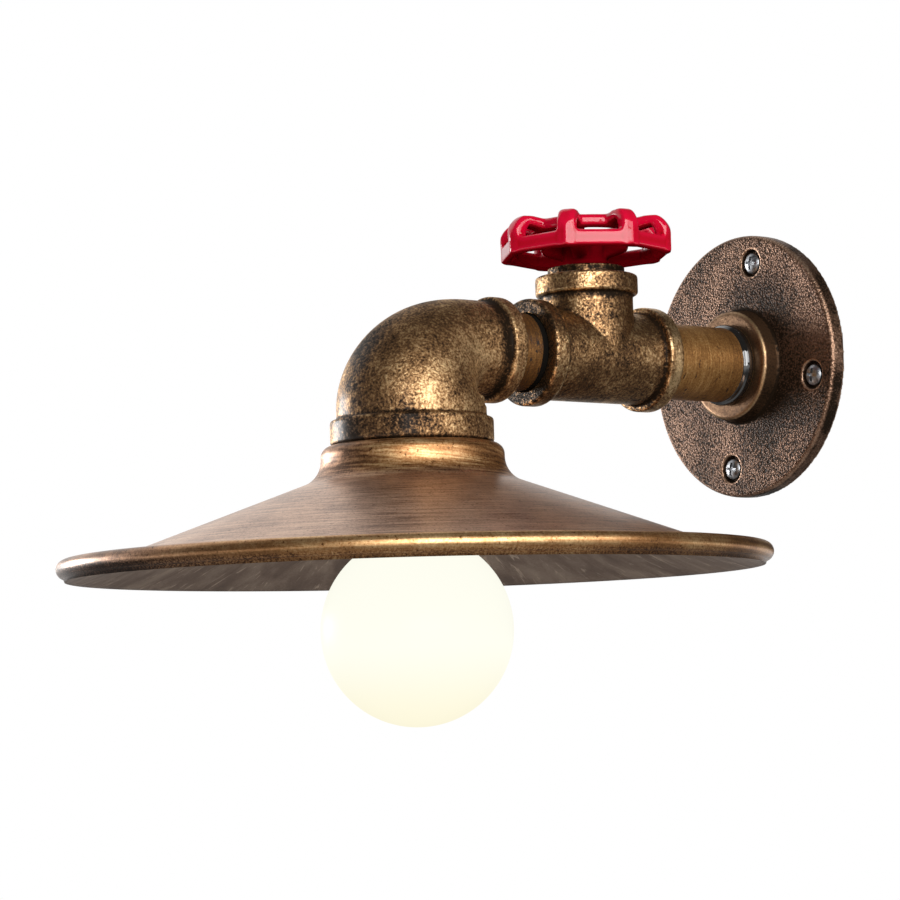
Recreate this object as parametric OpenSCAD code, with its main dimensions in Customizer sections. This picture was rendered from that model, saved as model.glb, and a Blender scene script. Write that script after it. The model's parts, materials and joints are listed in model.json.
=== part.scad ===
// Pipe wall light: wall flange, pipe fittings, a valve wheel that works a switch, spun shade and globe lamp.
// All sizes are millimetres. The wall face is y = 0, the arm runs along -Y from it, and +Z is up.

/* [Wall flange] */
// Diameter of the flange plate
flange_d = 90; // [84:1:110]
// Thickness of the flange plate
flange_t = 5.6; // [5:0.2:8]
// Rounding of the plate's front edge
flange_edge_r = 1.4; // [0.4:0.2:2]
// Wall of the hub around its thread
hub_wall = 5.95; // [4:0.05:8]
// How much the hub widens from its mouth to the plate, on the radius
hub_flare = 0.7; // [0:0.1:2]
// Distance from the wall to the hub's mouth
hub_h = 11.6; // [10:0.2:20]
// Diameter of the cable entry in the wall face
entry_d = 22; // [20:0.5:24]
// Depth of the cable entry
entry_h = 4; // [3:0.5:5]

/* [Wall screws] */
// Number of wall screws
screw_count = 4; // [3:1:6]
// Diameter of the circle that the wall screws stand on
screw_pcd = 71; // [64:1:74]
// Turn of the screw circle about the arm
screw_turn = -11; // [-45:1:45]
// Thread diameter of a wall screw
screw_d = 4; // [3:0.5:4.5]
// Head diameter of a wall screw
screw_head_d = 7.2; // [6.4:0.2:8]
// Head height of a wall screw
screw_head_h = 2.4; // [1.8:0.2:3]
// Length of thread behind the wall face
screw_reach = 7; // [5:0.5:40]
// Depth of the seat that each head sinks into
seat_h = 2; // [1:0.2:2.4]
// Gap around a head in its seat
seat_gap = 1.1; // [0.4:0.1:1.4]

/* [Pipe nipples] */
// Outside diameter of the nipples
pipe_d = 25.3; // [24:0.1:28]
// Wall of the nipples
pipe_wall = 2.8; // [2:0.1:3]
// Bare pipe between the flange and the tee
wall_gap = 34; // [20:1:120]
// Bare pipe between the tee and the elbow
head_gap = 10.8; // [6:0.2:40]
// Length of thread that each fitting takes
grip = 11.5; // [9:0.5:12]
// Radial clearance of a thread
thread_gap = 0.04; // [0.02:0.01:0.08]

/* [Tee] */
// Centre of the tee to each end of its run
tee_half = 26.8; // [26:0.2:40]
// Centre of the tee to the end of its branch
tee_branch = 26.4; // [26:0.2:40]
// Wall of the tee around its threads
tee_wall = 2.45; // [2:0.05:4]
// Rise of the beads on the run
tee_bead_rise = 2.3; // [1:0.1:4]
// Width of the beads on the run
tee_bead_w = 5.8; // [4:0.2:9]
// Rise of the collar on the branch
tee_collar_rise = 1.75; // [1:0.05:4]
// Height of the collar on the branch
tee_collar_h = 6.5; // [4:0.1:9]
// Rounding of every bead and collar
bead_round = 0.9; // [0.3:0.1:1]

/* [Bonnet plug and switch] */
// How far the plug stands out of the branch
plug_proud = 2.8; // [2:0.1:8]
// Length of the plug in the branch
plug_grip = 11; // [8:0.5:12]
// Floor of the plug that the switch hangs from
plug_floor = 2.4; // [1.6:0.2:4]
// Diameter of the recess in the plug's top
recess_d = 16; // [13:0.5:20]
// Depth of the recess in the plug's top
recess_h = 2.8; // [2:0.1:5]
// Diameter of the switch case
case_d = 17; // [15:0.5:18]
// Height of the switch case
case_h = 10.5; // [9:0.5:11]
// Thread diameter of the switch neck
neck_d = 7; // [6.8:0.1:7.6]
// Diameter of the switch spindle
spindle_d = 6; // [5:0.1:6]
// Radial running clearance of the spindle
spindle_gap = 0.04; // [0.02:0.01:0.08]
// Size of the neck nut across its flats
nut_flats = 10; // [9:0.5:11]
// Height of the neck nut
nut_h = 1.9; // [1.4:0.1:2]

/* [Handwheel] */
// Diameter of the handwheel across its corners
wheel_d = 57.2; // [50:0.2:80]
// Number of sides and ribs
wheel_sides = 8; // [6:2:10]
// Turn of the handwheel about its spindle when fully on
wheel_turn = -6.5; // [-22:0.5:22]
// Height of the handwheel over its ribs
wheel_h = 12.3; // [11.6:0.1:16]
// Distance from the plug's top to the wheel's rim
wheel_lift = 3.7; // [2:0.1:8]
// Height of the rim band
band_h = 4.7; // [3:0.1:5.4]
// Thickness of the rim band
band_t = 2.4; // [1.6:0.1:2.8]
// Width of a rib
rib_w = 5.2; // [3:0.1:6]
// Depth of a rib at the rim
rib_t = 4.2; // [3:0.1:5]
// Distance from the rim in to the top of the ribs
rib_inset = 6.1; // [5:0.1:9]
// Outer radius of the ring that joins the ribs
wheel_ring_r = 17.5; // [16:0.1:20]
// Width of that ring
wheel_ring_w = 3.6; // [3:0.1:5]
// Thickness of that ring
wheel_ring_h = 3.3; // [2.4:0.1:4]
// Drop of that ring below the top of the ribs
wheel_ring_sink = 1.1; // [0.2:0.1:2]
// Width of a spoke
spoke_w = 4.4; // [3:0.1:5]
// Radius of the wheel's hub
wheel_hub_r = 6.6; // [5:0.1:8]
// Height of the hub's top above the underside of the rim
wheel_hub_h = 6; // [4:0.1:7]

/* [Reducing elbow] */
// Elbow's corner to the end of its inlet
elbow_run = 34.3; // [33:0.1:60]
// Elbow's corner to the end of its outlet
elbow_drop = 31.5; // [30:0.1:60]
// Radius of the bend at the middle of the pipe
elbow_bend = 20.5; // [18:0.1:22]
// Wall of the inlet around its thread
inlet_wall = 2.85; // [2.2:0.05:4]
// Rise of the inlet's bead
inlet_rise = 1.5; // [0.8:0.1:4]
// Width of the inlet's bead
inlet_bead_w = 5.2; // [4:0.1:9]
// Wall of the outlet around its thread
outlet_wall = 2.7; // [2.2:0.1:4]
// Rise of the outlet's collar
outlet_rise = 2.1; // [1:0.1:4]
// Height of the outlet's collar
outlet_collar_h = 8; // [4:0.1:9]
// Radius of the hollow inside the bend
bend_hollow_r = 15; // [14:0.1:16]

/* [Shade] */
// Diameter of the shade over its rolled rim
shade_d = 221.6; // [160:0.2:300]
// Diameter of the shade's neck
shade_neck_d = 57.5; // [56:0.1:70]
// Rounding at the top of the neck
shade_shoulder = 3.6; // [2.2:0.1:5]
// Straight wall of the neck
shade_neck_wall = 0.7; // [0.2:0.1:20]
// Radius of the hollow curve between neck and cone
shade_fillet = 8.5; // [4:0.1:16]
// Fall of the cone below the horizontal, in degrees
shade_slope = 20.2; // [10:0.1:32]
// Sheet thickness of the shade
shade_sheet = 1; // [0.8:0.1:1.6]
// Diameter of the rolled rim
shade_roll_d = 5.8; // [4:0.1:8]

/* [Lampholder] */
// Thread diameter of the holder sleeve in the elbow's outlet
sleeve_d = 41.6; // [41:0.1:44]
// Wall of the holder sleeve
sleeve_wall = 1.5; // [1.2:0.1:1.8]
// Length of the holder sleeve in the elbow
sleeve_rise = 12.5; // [12:0.1:13]
// Height of the sleeve's flange, which clamps the shade
sleeve_flange_h = 4; // [3.6:0.1:6]
// Thickness of the ledge at the sleeve's top
ledge_t = 1.5; // [1:0.1:2]
// Width of that ledge
ledge_w = 3.8; // [2:0.1:5]
// Gap between the ceramic body and the sleeve
body_gap = 0.1; // [0.05:0.05:0.3]
// Radius of the ceramic body's skirt
skirt_r = 17; // [16.6:0.1:17.4]
// Thickness of the retaining ring
ring_t = 1.1; // [0.8:0.1:1.4]
// Radius of the ceramic body's lamp cavity
cavity_r = 14.4; // [14.3:0.1:15]
// Height of the cavity's floor above the elbow's outlet
floor_rise = 5; // [4:0.1:5.4]
// Thickness of the screw shell's plate
shell_plate_t = 0.8; // [0.5:0.1:1]
// Length of the screw shell
shell_h = 20.7; // [16:0.1:22]

/* [Lamp] */
// Diameter of the glass globe
globe_d = 60; // [50:1:80]
// Length of the straight glass neck below the lamp's cap
glass_neck_h = 2.2; // [1:0.1:30]
// Length of the lamp's cap from its tip to its rim
cap_len = 26.5; // [25:0.1:28]
// Crest diameter of the cap's thread
cap_d = 26.2; // [25.8:0.1:26.4]
// Depth of the cap's thread
cap_depth = 1; // [0.8:0.05:1.1]
// Pitch of the cap's thread
cap_pitch = 3.629; // [3.5:0.001:3.7]
// Radial clearance between the cap's thread and the screw shell
cap_gap = 0.45; // [0.4:0.05:0.5]
// Thickness of the glass
glass_t = 0.8; // [0.5:0.1:1.5]
// Radius of the curve between the glass neck and the globe
glass_fillet = 8; // [5:0.5:12]

/* [Wiring] */
// Diameter of the sheathed flex
flex_d = 6; // [5:0.1:7]
// Diameter of one insulated core
core_d = 2.2; // [1.8:0.1:2.4]
// Width of the terminal block
block_w = 14; // [12:0.5:15]
// Length of the terminal block
block_l = 15; // [12:0.5:20]
// Height of the terminal block
block_h = 9; // [8:0.2:10]

/* [Hidden] */
$fn = 64;
eps = 0.01;

// Pipe and the bores that take it
pipe_r = pipe_d / 2;
pipe_in_r = pipe_r - pipe_wall;
thread_r = pipe_r + thread_gap;
thread_stop = 1.5;
bore_r = pipe_r - thread_stop;
bore_spare = 0.5;

// Distances from the wall along the arm
tee_near = hub_h + wall_gap;
tee_axis = tee_near + tee_half;
tee_far = tee_axis + tee_half;
elbow_near = tee_far + head_gap;
elbow_axis = elbow_near + elbow_run;

// Flange and wall screws
flange_r = flange_d / 2;
hub_r = thread_r + hub_wall;
hub_chamfer = 0.8;
entry_r = entry_d / 2;
screw_r = screw_d / 2;
shank_rise = 0.2;
shank_r = screw_r + shank_rise;
shank_start = -0.2;
screw_hole_gap = 0.3;
screw_hole_r = shank_r + screw_hole_gap;
screw_head_r = screw_head_d / 2;
screw_point_h = 0.2 * screw_d;
screw_point_r = 0.6 * screw_r;
seat_z = flange_t - seat_h;
cross_w = 1.1;
cross_l = 0.62 * screw_head_d;
cross_h = 1.3;
head_edge = 0.35;

// Tee
tee_r = thread_r + tee_wall;
tee_bead_r = tee_r + tee_bead_rise;
tee_collar_r = tee_r + tee_collar_rise;

// Heights of the plug, the switch and the handwheel, above the arm's axis
plug_top = tee_branch + plug_proud;
plug_bottom = tee_branch - plug_grip;
recess_floor = plug_top - recess_h;
case_top = recess_floor - plug_floor;
case_bottom = case_top - case_h;
case_r = case_d / 2;
case_roof = 1.5;
case_wall = 0.8;
case_gap = 0.4;
neck_r = neck_d / 2;
neck_gap = 0.1;
neck_h = plug_floor + recess_h - neck_gap;
neck_washer_t = 0.5;
neck_washer_rim = 0.6;
neck_washer_r = nut_flats / 2 + neck_washer_rim;
spindle_r = spindle_d / 2;
flat_depth = 0.6;
fit_gap = 0.03;
base_h = 1.9;
base_r = case_r - case_wall - fit_gap;
rotor_h = 3.5;
rotor_side = 0.9;
rotor_r = case_r - case_wall - rotor_side;
rotor_gap = 0.4;
rotor_top = case_top - case_roof - rotor_gap;
rotor_bottom = rotor_top - rotor_h;
wiper_t = 0.6;
wiper_w = 3;
wiper_reach = 5.4;
wiper_gap = 0.1;
lug_x = 4;
lug_w = 2.6;
lug_t = 0.6;
lug_head = 3;
lug_head_t = 0.2;
lug_drop = 4.5;
lug_bottom = case_bottom - lug_drop;
contact_top = case_bottom + base_h + lug_head_t;
wheel_r = wheel_d / 2;
wheel_z = plug_top + wheel_lift;
wheel_hub_gap = 0.6;
wheel_ring_top = wheel_h - wheel_ring_sink;
wheel_ring_bottom = wheel_ring_top - wheel_ring_h;
wheel_ring_in_r = wheel_ring_r - wheel_ring_w;
wheel_overlap = 1;
spoke_low = -0.9;
spoke_step = 0.5;
spoke_knee_r = 13.5;
spoke_knee_z = 1.5;
crown_r = wheel_r - rib_inset;
rib_roof = 3;
wheel_washer_r = 4.4;
wheel_washer_t = 0.8;
wheel_screw_r = 1.5;
wheel_screw_head_r = 3;
wheel_screw_head_h = 2.2;
wheel_screw_l = 8;
spindle_short = 0.3;
spindle_top = wheel_z + wheel_hub_h - spindle_short;

// Elbow, with the centre of its bend on the wall side of the outlet
inlet_r = thread_r + inlet_wall;
sleeve_r = sleeve_d / 2;
outlet_bore_r = sleeve_r + thread_gap;
outlet_r = outlet_bore_r + outlet_wall;
bend_slack = 0.2;
bend_y = elbow_bend - elbow_axis;
bend_steps = 12;
bend_sides = 36;
bend_core = 0.6;
corner_inset = 0.5;
corner_r = outlet_r - corner_inset;
corner_start = 12;
corner_roof = 1.5;
hollow_turn = 33;
passage_stop = 4;
outlet_z = -elbow_drop;

// Shade, as heights below the elbow's outlet
shade_r = shade_d / 2;
shade_neck_r = shade_neck_d / 2;
shade_hole_gap = 0.3;
shade_hole_r = sleeve_r + shade_hole_gap;
shade_roll_r = shade_roll_d / 2;
fillet_z = -shade_shoulder - shade_neck_wall;
fillet_x = shade_neck_r + shade_fillet;
cone_r0 = fillet_x - shade_fillet * sin(shade_slope);
cone_z0 = fillet_z - shade_fillet * cos(shade_slope);
roll_x = shade_r - shade_roll_r;
function cone_z(r) = cone_z0 - (r - cone_r0) * tan(shade_slope);
roll_rise = shade_roll_r - shade_sheet / 2;
roll_half = acos(roll_rise / shade_roll_r);
roll_z = cone_z(roll_x) + roll_rise / cos(shade_slope);

// Lampholder heights
sleeve_bore_r = sleeve_r - sleeve_wall;
sleeve_top = outlet_z + sleeve_rise;
sleeve_seat = outlet_z - shade_sheet;
sleeve_bottom = sleeve_seat - sleeve_flange_h;
sleeve_flange_gap = 0.5;
sleeve_flange_r = shade_neck_r - shade_shoulder - sleeve_flange_gap;
ledge_r = sleeve_bore_r - ledge_w;
body_top = sleeve_top - ledge_t;
body_r = sleeve_bore_r - body_gap;
ring_drop = 1;
ring_z = sleeve_seat - ring_drop;
ring_groove = 0.9;
ring_gap = 0.1;
ring_slot_w = 6;
ring_inner_gap = 0.3;
cavity_top = outlet_z + floor_rise;
shell_top = cavity_top - shell_plate_t;
shell_bottom = shell_top - shell_h;
contact_drop = 2;
contact_t = 0.5;
contact_w = 4;
contact_x0 = -8;
contact_x1 = -5;
contact_x2 = -1.6;
contact_x3 = 2.5;
plate_hole_r = 8.5;
shell_gap = 0.3;
plate_out_r = cavity_r - shell_gap;
rivet_r = 1;
rivet_head_r = 1.6;
rivet_head_t = 0.4;
rivet_count = 3;
rivet_ring_r = 10.8;
rivet_fit = 0.03;
contact_rivet_x = -6.6;
contact_rivet_head_r = 1.3;
clamp_x = 8;
clamp_w = 5;
clamp_l = 8;
clamp_h = 4;
clamp_proud = 0.5;
clamp_gap = 0.1;
clamp_top = body_top + clamp_proud;
clamp_bottom = clamp_top - clamp_h;
clamp_screw_r = 1.5;
clamp_screw_head_r = 2.3;
clamp_screw_head_h = 1.2;
clamp_screw_y = -1.4;
clamp_screw_end = 1.2;
clamp_floor = 0.6;
slot_w = 0.5;
clamp_core_y = 2.6;

// Lamp heights
tip_top = cavity_top - contact_drop - wiper_gap;
tip_r = 4.4;
tip_h = 1.5;
tip_flat_r = 1.6;
tip_curve = 0.6;
cap_rim = tip_top - cap_len;
insulator_h = 5.2;
cap_top = tip_top - tip_h - insulator_h;
cap_crest_r = cap_d / 2;
cap_root_r = cap_crest_r - cap_depth;
cap_wall = 0.7;
cap_bore_r = cap_root_r - cap_wall;
insulator_step = 0.2;
insulator_r = cap_root_r - insulator_step;
insulator_rim = 0.8;
insulator_tip_r = tip_r + insulator_rim;
cap_skirt_h = 3.6;
thread_sides = 24;
thread_steps = 6;
thread_fade = 1.2;
globe_r = globe_d / 2;
glass_step = 0.5;
glass_neck_r = cap_root_r + glass_step;
glass_fit = 0.1;
glass_tuck = 4;
glass_fillet_x = glass_neck_r + glass_fillet;
glass_fillet_z = cap_rim - glass_neck_h;
globe_drop = sqrt(pow(globe_r + glass_fillet, 2) - pow(glass_fillet_x, 2));
globe_z = glass_fillet_z - globe_drop;
globe_turn = atan2(globe_drop, glass_fillet_x);
skirt_cover = 1.5;
body_bottom = cap_rim - skirt_cover;
stem_r = 3;
stem_disc_t = 0.9;
stem_fit = 0.2;
stem_rise = 3;
stem_top = cap_rim + stem_rise;
stem_stop = 17;
stem_bottom = globe_z + stem_stop;
filament_r = 9;
filament_wire_r = 0.4;
filament_rise = 2;
filament_z = globe_z + filament_rise;
lead_wire_r = 0.5;
lead_wire_x = 1.6;
lead_bend_z = (stem_bottom + filament_z) / 2;

// Wiring
flex_r = flex_d / 2;
core_r = core_d / 2;
core_space = 0.4;
core_offset = core_r + core_space;
core_sides = 8;
core_steps = 10;
core_pull = 0.6;
block_inset = 1.5;
block_start = entry_h + block_inset;
block_end = block_start + block_l;
block_fit = 0.25;
block_z = -sqrt(pow(pipe_in_r - block_fit, 2) - pow(block_w / 2, 2));
block_way_r = 1.7;
block_screw_r = 1.2;
block_screw_h = 3;
block_screw_proud = 0.8;
flex_stop = 1;
flex_end = tee_near + grip + flex_stop;
lamp_flex_start = tee_far - grip - flex_stop;
lamp_flex_end = elbow_near + grip + 2 * flex_stop;
flex_gap = 0.3;

// Points of an arc from angle a0 to angle a1
function arc(x, y, r, a0, a1, n = 8) = [
    for (i = [0:n])
        let (a = a0 + (a1 - a0) * i / n)
        [x + r * cos(a), y + r * sin(a)]
];

// Smooth step from 0 to 1
function ease(t) = t * t * (3 - 2 * t);

function mix(a, b, t) = a + (b - a) * t;

function unit(v) = v / norm(v);

// Point and direction on a cubic curve through four control points
function curve_at(p, t) =
    pow(1 - t, 3) * p[0] + 3 * t * pow(1 - t, 2) * p[1] + 3 * t * t * (1 - t) * p[2] + pow(t, 3) * p[3];
function curve_way(p, t) = unit(
    pow(1 - t, 2) * (p[1] - p[0]) + 2 * t * (1 - t) * (p[2] - p[1]) + t * t * (p[3] - p[2])
);

// Triangles of a wall of rings, each ring turning the same way
function wall_faces(first, rows, n, flip = false) = [
    for (i = [0:rows - 2], j = [0:n - 1], half = [0, 1])
        let (
            a = first + i * n + j,
            b = first + i * n + (j + 1) % n,
            face = half == 0 ? [a, a + n, b + n] : [a, b + n, b]
        )
        flip ? [face[2], face[1], face[0]] : face
];

function join(lists) = [for (list = lists, item = list) item];

// A closed solid through a list of rings
module loft(rings) {
    n = len(rings[0]);
    last = len(rings) - 1;
    start_cap = [for (j = [0:n - 1]) j];
    end_cap = [for (j = [n - 1:-1:0]) last * n + j];
    polyhedron(join(rings), concat(wall_faces(0, last + 1, n), [start_cap, end_cap]));
}

// A closed tube between an outer and an inner stack of rings
module ring_tube(outer, inner) {
    n = len(outer[0]);
    rows_out = len(outer);
    rows_in = len(inner);
    base_in = rows_out * n;
    top_out = (rows_out - 1) * n;
    top_in = base_in + (rows_in - 1) * n;
    ends = [
        for (j = [0:n - 1])
            let (k = (j + 1) % n)
            each [
                [top_out + j, top_in + j, top_in + k],
                [top_out + j, top_in + k, top_out + k],
                [j, base_in + k, base_in + j],
                [j, k, base_in + k]
            ]
    ];
    polyhedron(
        concat(join(outer), join(inner)),
        concat(wall_faces(0, rows_out, n), wall_faces(base_in, rows_in, n, true), ends)
    );
}

// A round wire along a cubic curve
module wire(p, r, sides = core_sides) {
    side_way = [1, 0, 0];
    loft([
        for (i = [0:core_steps])
            let (
                t = i / core_steps,
                way = curve_way(p, t),
                u = unit(cross(side_way, way)),
                v = cross(way, u)
            )
            [
                for (j = [0:sides - 1])
                    let (a = 360 * j / sides)
                    curve_at(p, t) + r * cos(a) * u + r * sin(a) * v
            ]
    ]);
}

// Local +Z points away from the wall, from a distance along the arm
module along_arm(distance) {
    translate([0, -distance, 0]) rotate([90, 0, 0]) children();
}

module at_switch(z = 0) {
    translate([0, -tee_axis, z]) children();
}

module at_head(z = 0) {
    translate([0, -elbow_axis, z]) children();
}

module tube(outer_r, inner_r, h) {
    difference() {
        cylinder(r = outer_r, h = h);
        translate([0, 0, -1]) cylinder(r = inner_r, h = h + 2);
    }
}

// A raised band with rounded edges, from z = 0 up
module bead(r, w) {
    rotate_extrude()
        polygon(concat(
            [[0, 0]],
            arc(r - bead_round, bead_round, bead_round, -90, 0, 4),
            arc(r - bead_round, w - bead_round, bead_round, 0, 90, 4),
            [[0, w]]
        ));
}

module around_screws() {
    for (i = [0:screw_count - 1])
        rotate([0, 0, 90 + screw_turn + 360 * i / screw_count])
            translate([screw_pcd / 2, 0, 0])
                children();
}

// A domed screw head with a cross recess, from z = 0 up
module cross_head(r, h) {
    difference() {
        rotate_extrude()
            polygon(concat(
                [[0, 0], [r, 0]],
                [for (i = [1:7]) [r * cos(90 * i / 8), h * mix(head_edge, 1, sin(90 * i / 8))]],
                [[0, h]]
            ));
        for (a = [0, 90])
            rotate([0, 0, a])
                translate([-cross_l / 2, -cross_w / 2, h - cross_h])
                    cube([cross_l, cross_w, h]);
    }
}

module wall_flange() {
    color("saddlebrown") along_arm(0) difference() {
        rotate_extrude()
            polygon(concat(
                [[entry_r, 0], [flange_r, 0]],
                arc(flange_r - flange_edge_r, flange_t - flange_edge_r, flange_edge_r, 0, 90, 5),
                [[hub_r + hub_flare, flange_t], [hub_r, hub_h - hub_chamfer], [hub_r - hub_chamfer, hub_h]],
                [[thread_r, hub_h], [thread_r, entry_h], [entry_r, entry_h]]
            ));
        around_screws() {
            translate([0, 0, -1]) cylinder(r = screw_hole_r, h = flange_t + 2);
            translate([0, 0, seat_z]) cylinder(r = screw_head_r + seat_gap, h = flange_t);
        }
    }
}

module wall_screws() {
    color("silver") along_arm(0) around_screws() {
        translate([0, 0, seat_z]) cross_head(screw_head_r, screw_head_h);
        translate([0, 0, shank_start]) cylinder(r = shank_r, h = seat_z - shank_start + eps);
        translate([0, 0, -screw_reach + screw_point_h])
            cylinder(r = screw_r, h = screw_reach - screw_point_h + shank_start + eps);
        translate([0, 0, -screw_reach])
            cylinder(r1 = screw_point_r, r2 = screw_r, h = screw_point_h + eps);
    }
}

module wall_nipple() {
    color("peru") along_arm(entry_h) tube(pipe_r, pipe_in_r, tee_near + grip - entry_h);
}

module elbow_nipple() {
    color("peru") along_arm(tee_far - grip) tube(pipe_r, pipe_in_r, head_gap + 2 * grip);
}

module tee() {
    socket_h = grip + bore_spare;
    color("saddlebrown") difference() {
        union() {
            along_arm(tee_near + bead_round) cylinder(r = tee_r, h = 2 * (tee_half - bead_round));
            along_arm(tee_near) bead(tee_bead_r, tee_bead_w);
            along_arm(tee_far - tee_bead_w) bead(tee_bead_r, tee_bead_w);
            at_switch() cylinder(r = tee_r, h = tee_branch - bead_round);
            at_switch(tee_branch - tee_collar_h) bead(tee_collar_r, tee_collar_h);
        }
        along_arm(tee_near - 1) cylinder(r = bore_r, h = 2 * tee_half + 2);
        along_arm(tee_near - 1) cylinder(r = thread_r, h = socket_h + 1);
        along_arm(tee_far - socket_h) cylinder(r = thread_r, h = socket_h + 1);
        at_switch() cylinder(r = bore_r, h = tee_branch + 1);
        at_switch(plug_bottom - bore_spare) cylinder(r = thread_r, h = plug_grip + bore_spare + 1);
    }
}

module bonnet_plug() {
    color("saddlebrown") difference() {
        at_switch(plug_bottom) cylinder(r = pipe_r, h = plug_top - plug_bottom);
        at_switch(recess_floor) cylinder(r = recess_d / 2, h = recess_h + 1);
        at_switch(plug_bottom - 1) cylinder(r = case_r + case_gap, h = case_top - plug_bottom + 1);
        at_switch(plug_bottom) cylinder(r = neck_r + neck_gap, h = plug_top);
    }
}

module switch_case() {
    color("gainsboro") difference() {
        union() {
            at_switch(case_bottom) cylinder(r = case_r, h = case_h);
            at_switch(case_top - eps) cylinder(r = neck_r, h = neck_h + eps);
        }
        at_switch(case_bottom - 1) cylinder(r = case_r - case_wall, h = case_h - case_roof + 1);
        at_switch(case_bottom) cylinder(r = spindle_r + spindle_gap, h = case_h + neck_h + 1);
    }
}

module at_lugs() {
    for (way = [-1, 1])
        translate([0, way * lug_x, 0]) children();
}

module switch_base() {
    color("peru") at_switch(case_bottom) difference() {
        cylinder(r = base_r, h = base_h);
        at_lugs()
            translate([-lug_w / 2 - fit_gap, -lug_t / 2 - fit_gap, -1])
                cube([lug_w + 2 * fit_gap, lug_t + 2 * fit_gap, base_h + 2]);
    }
}

module switch_lugs() {
    color("gold") at_switch() at_lugs() {
        translate([-lug_w / 2, -lug_t / 2, lug_bottom])
            cube([lug_w, lug_t, contact_top - lug_bottom]);
        translate([-lug_head / 2, -lug_head / 2, contact_top - lug_head_t])
            cube([lug_head, lug_head, lug_head_t]);
    }
}

module switch_washer() {
    color("silver") at_switch(recess_floor) tube(neck_washer_r, neck_r + neck_gap, neck_washer_t);
}

module switch_nut() {
    color("silver") at_switch(recess_floor + neck_washer_t) difference() {
        cylinder(r = nut_flats / 2 / cos(180 / 6), h = nut_h, $fn = 6);
        translate([0, 0, -1]) cylinder(r = neck_r + thread_gap, h = nut_h + 2);
    }
}

// The spindle's round section with one flat, grown by a clearance
module keyed_shaft(gap, h) {
    intersection() {
        cylinder(r = spindle_r + gap, h = h);
        translate([-spindle_d, -spindle_d, 0])
            cube([spindle_d + spindle_r - flat_depth + gap, 2 * spindle_d, h]);
    }
}

module switch_rotor() {
    color("ivory") at_switch(rotor_bottom) difference() {
        cylinder(r = rotor_r, h = rotor_h);
        translate([0, 0, -1]) cylinder(r = spindle_r + fit_gap, h = rotor_h + 2);
    }
}

module switch_wiper() {
    finger_h = rotor_bottom - contact_top - wiper_gap;
    color("gold") at_switch() {
        translate([-wiper_w / 2, -wiper_reach, rotor_bottom - wiper_t])
            cube([wiper_w, 2 * wiper_reach, wiper_t]);
        at_lugs()
            translate([-wiper_w / 4, -wiper_t, rotor_bottom - finger_h])
                cube([wiper_w / 2, 2 * wiper_t, finger_h]);
    }
}

module switch_spindle() {
    key_start = plug_top;
    color("silver") difference() {
        union() {
            at_switch(rotor_bottom) cylinder(r = spindle_r, h = key_start - rotor_bottom);
            at_switch(key_start - eps) keyed_shaft(0, spindle_top - key_start + eps);
        }
        at_switch(spindle_top - wheel_screw_l) cylinder(r = wheel_screw_r + fit_gap, h = wheel_screw_l + 1);
    }
}

// Section of one rib, from the rim up over the crown and in to the ring
function rib_outline() = concat(
    [[wheel_r - rib_t, 0], [wheel_r, 0]],
    [for (i = [0:8])
        let (a = 90 * i / 8)
        [crown_r + rib_inset * cos(a), band_h + (wheel_h - band_h) * sin(a)]],
    [[wheel_ring_r - wheel_overlap, wheel_ring_top], [wheel_ring_r - wheel_overlap, wheel_ring_bottom]],
    [for (i = [8:-1:0])
        let (a = 90 * i / 8)
        [crown_r + (rib_inset - rib_t) * cos(a), band_h + (wheel_h - rib_roof - band_h) * sin(a)]]
);

module wheel_rim() {
    linear_extrude(band_h) difference() {
        circle(r = wheel_r, $fn = wheel_sides);
        circle(r = wheel_r - band_t / cos(180 / wheel_sides), $fn = wheel_sides);
    }
}

module wheel_ribs() {
    for (i = [0:wheel_sides - 1])
        rotate([90, 0, 360 * i / wheel_sides])
            translate([0, 0, -rib_w / 2])
                linear_extrude(rib_w) polygon(rib_outline());
}

// Section of one spoke, from the hub out to the ring
function spoke_outline() =
    let (
        start = wheel_hub_r - wheel_overlap,
        end = wheel_ring_in_r + wheel_overlap
    )
    [
        [start, spoke_low], [spoke_knee_r, spoke_knee_z], [end, wheel_ring_bottom + spoke_step],
        [end, wheel_ring_top - spoke_step], [start, wheel_hub_h - 2 * spoke_step]
    ];

// A spoke at every second rib
module wheel_spokes() {
    for (i = [1:2:wheel_sides - 1])
        rotate([90, 0, 360 * i / wheel_sides])
            translate([0, 0, -spoke_w / 2])
                linear_extrude(spoke_w) polygon(spoke_outline());
}

module handwheel() {
    hub_start = wheel_hub_gap - wheel_lift;
    hub_len = wheel_hub_h - hub_start;
    color("crimson") at_switch(wheel_z) rotate([0, 0, wheel_turn]) difference() {
        union() {
            wheel_rim();
            wheel_ribs();
            wheel_spokes();
            translate([0, 0, wheel_ring_bottom]) tube(wheel_ring_r, wheel_ring_in_r, wheel_ring_h);
            translate([0, 0, hub_start]) cylinder(r = wheel_hub_r, h = hub_len);
        }
        rotate([0, 0, -wheel_turn])
            translate([0, 0, hub_start - 1]) keyed_shaft(fit_gap, hub_len + 2);
    }
}

module wheel_washer() {
    color("silver") at_switch(wheel_z + wheel_hub_h)
        tube(wheel_washer_r, wheel_screw_r + fit_gap, wheel_washer_t);
}

module wheel_screw() {
    head_z = wheel_z + wheel_hub_h + wheel_washer_t;
    color("silver") {
        at_switch(head_z) cross_head(wheel_screw_head_r, wheel_screw_head_h);
        at_switch(head_z - wheel_screw_l) cylinder(r = wheel_screw_r, h = wheel_screw_l + eps);
    }
}

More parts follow.
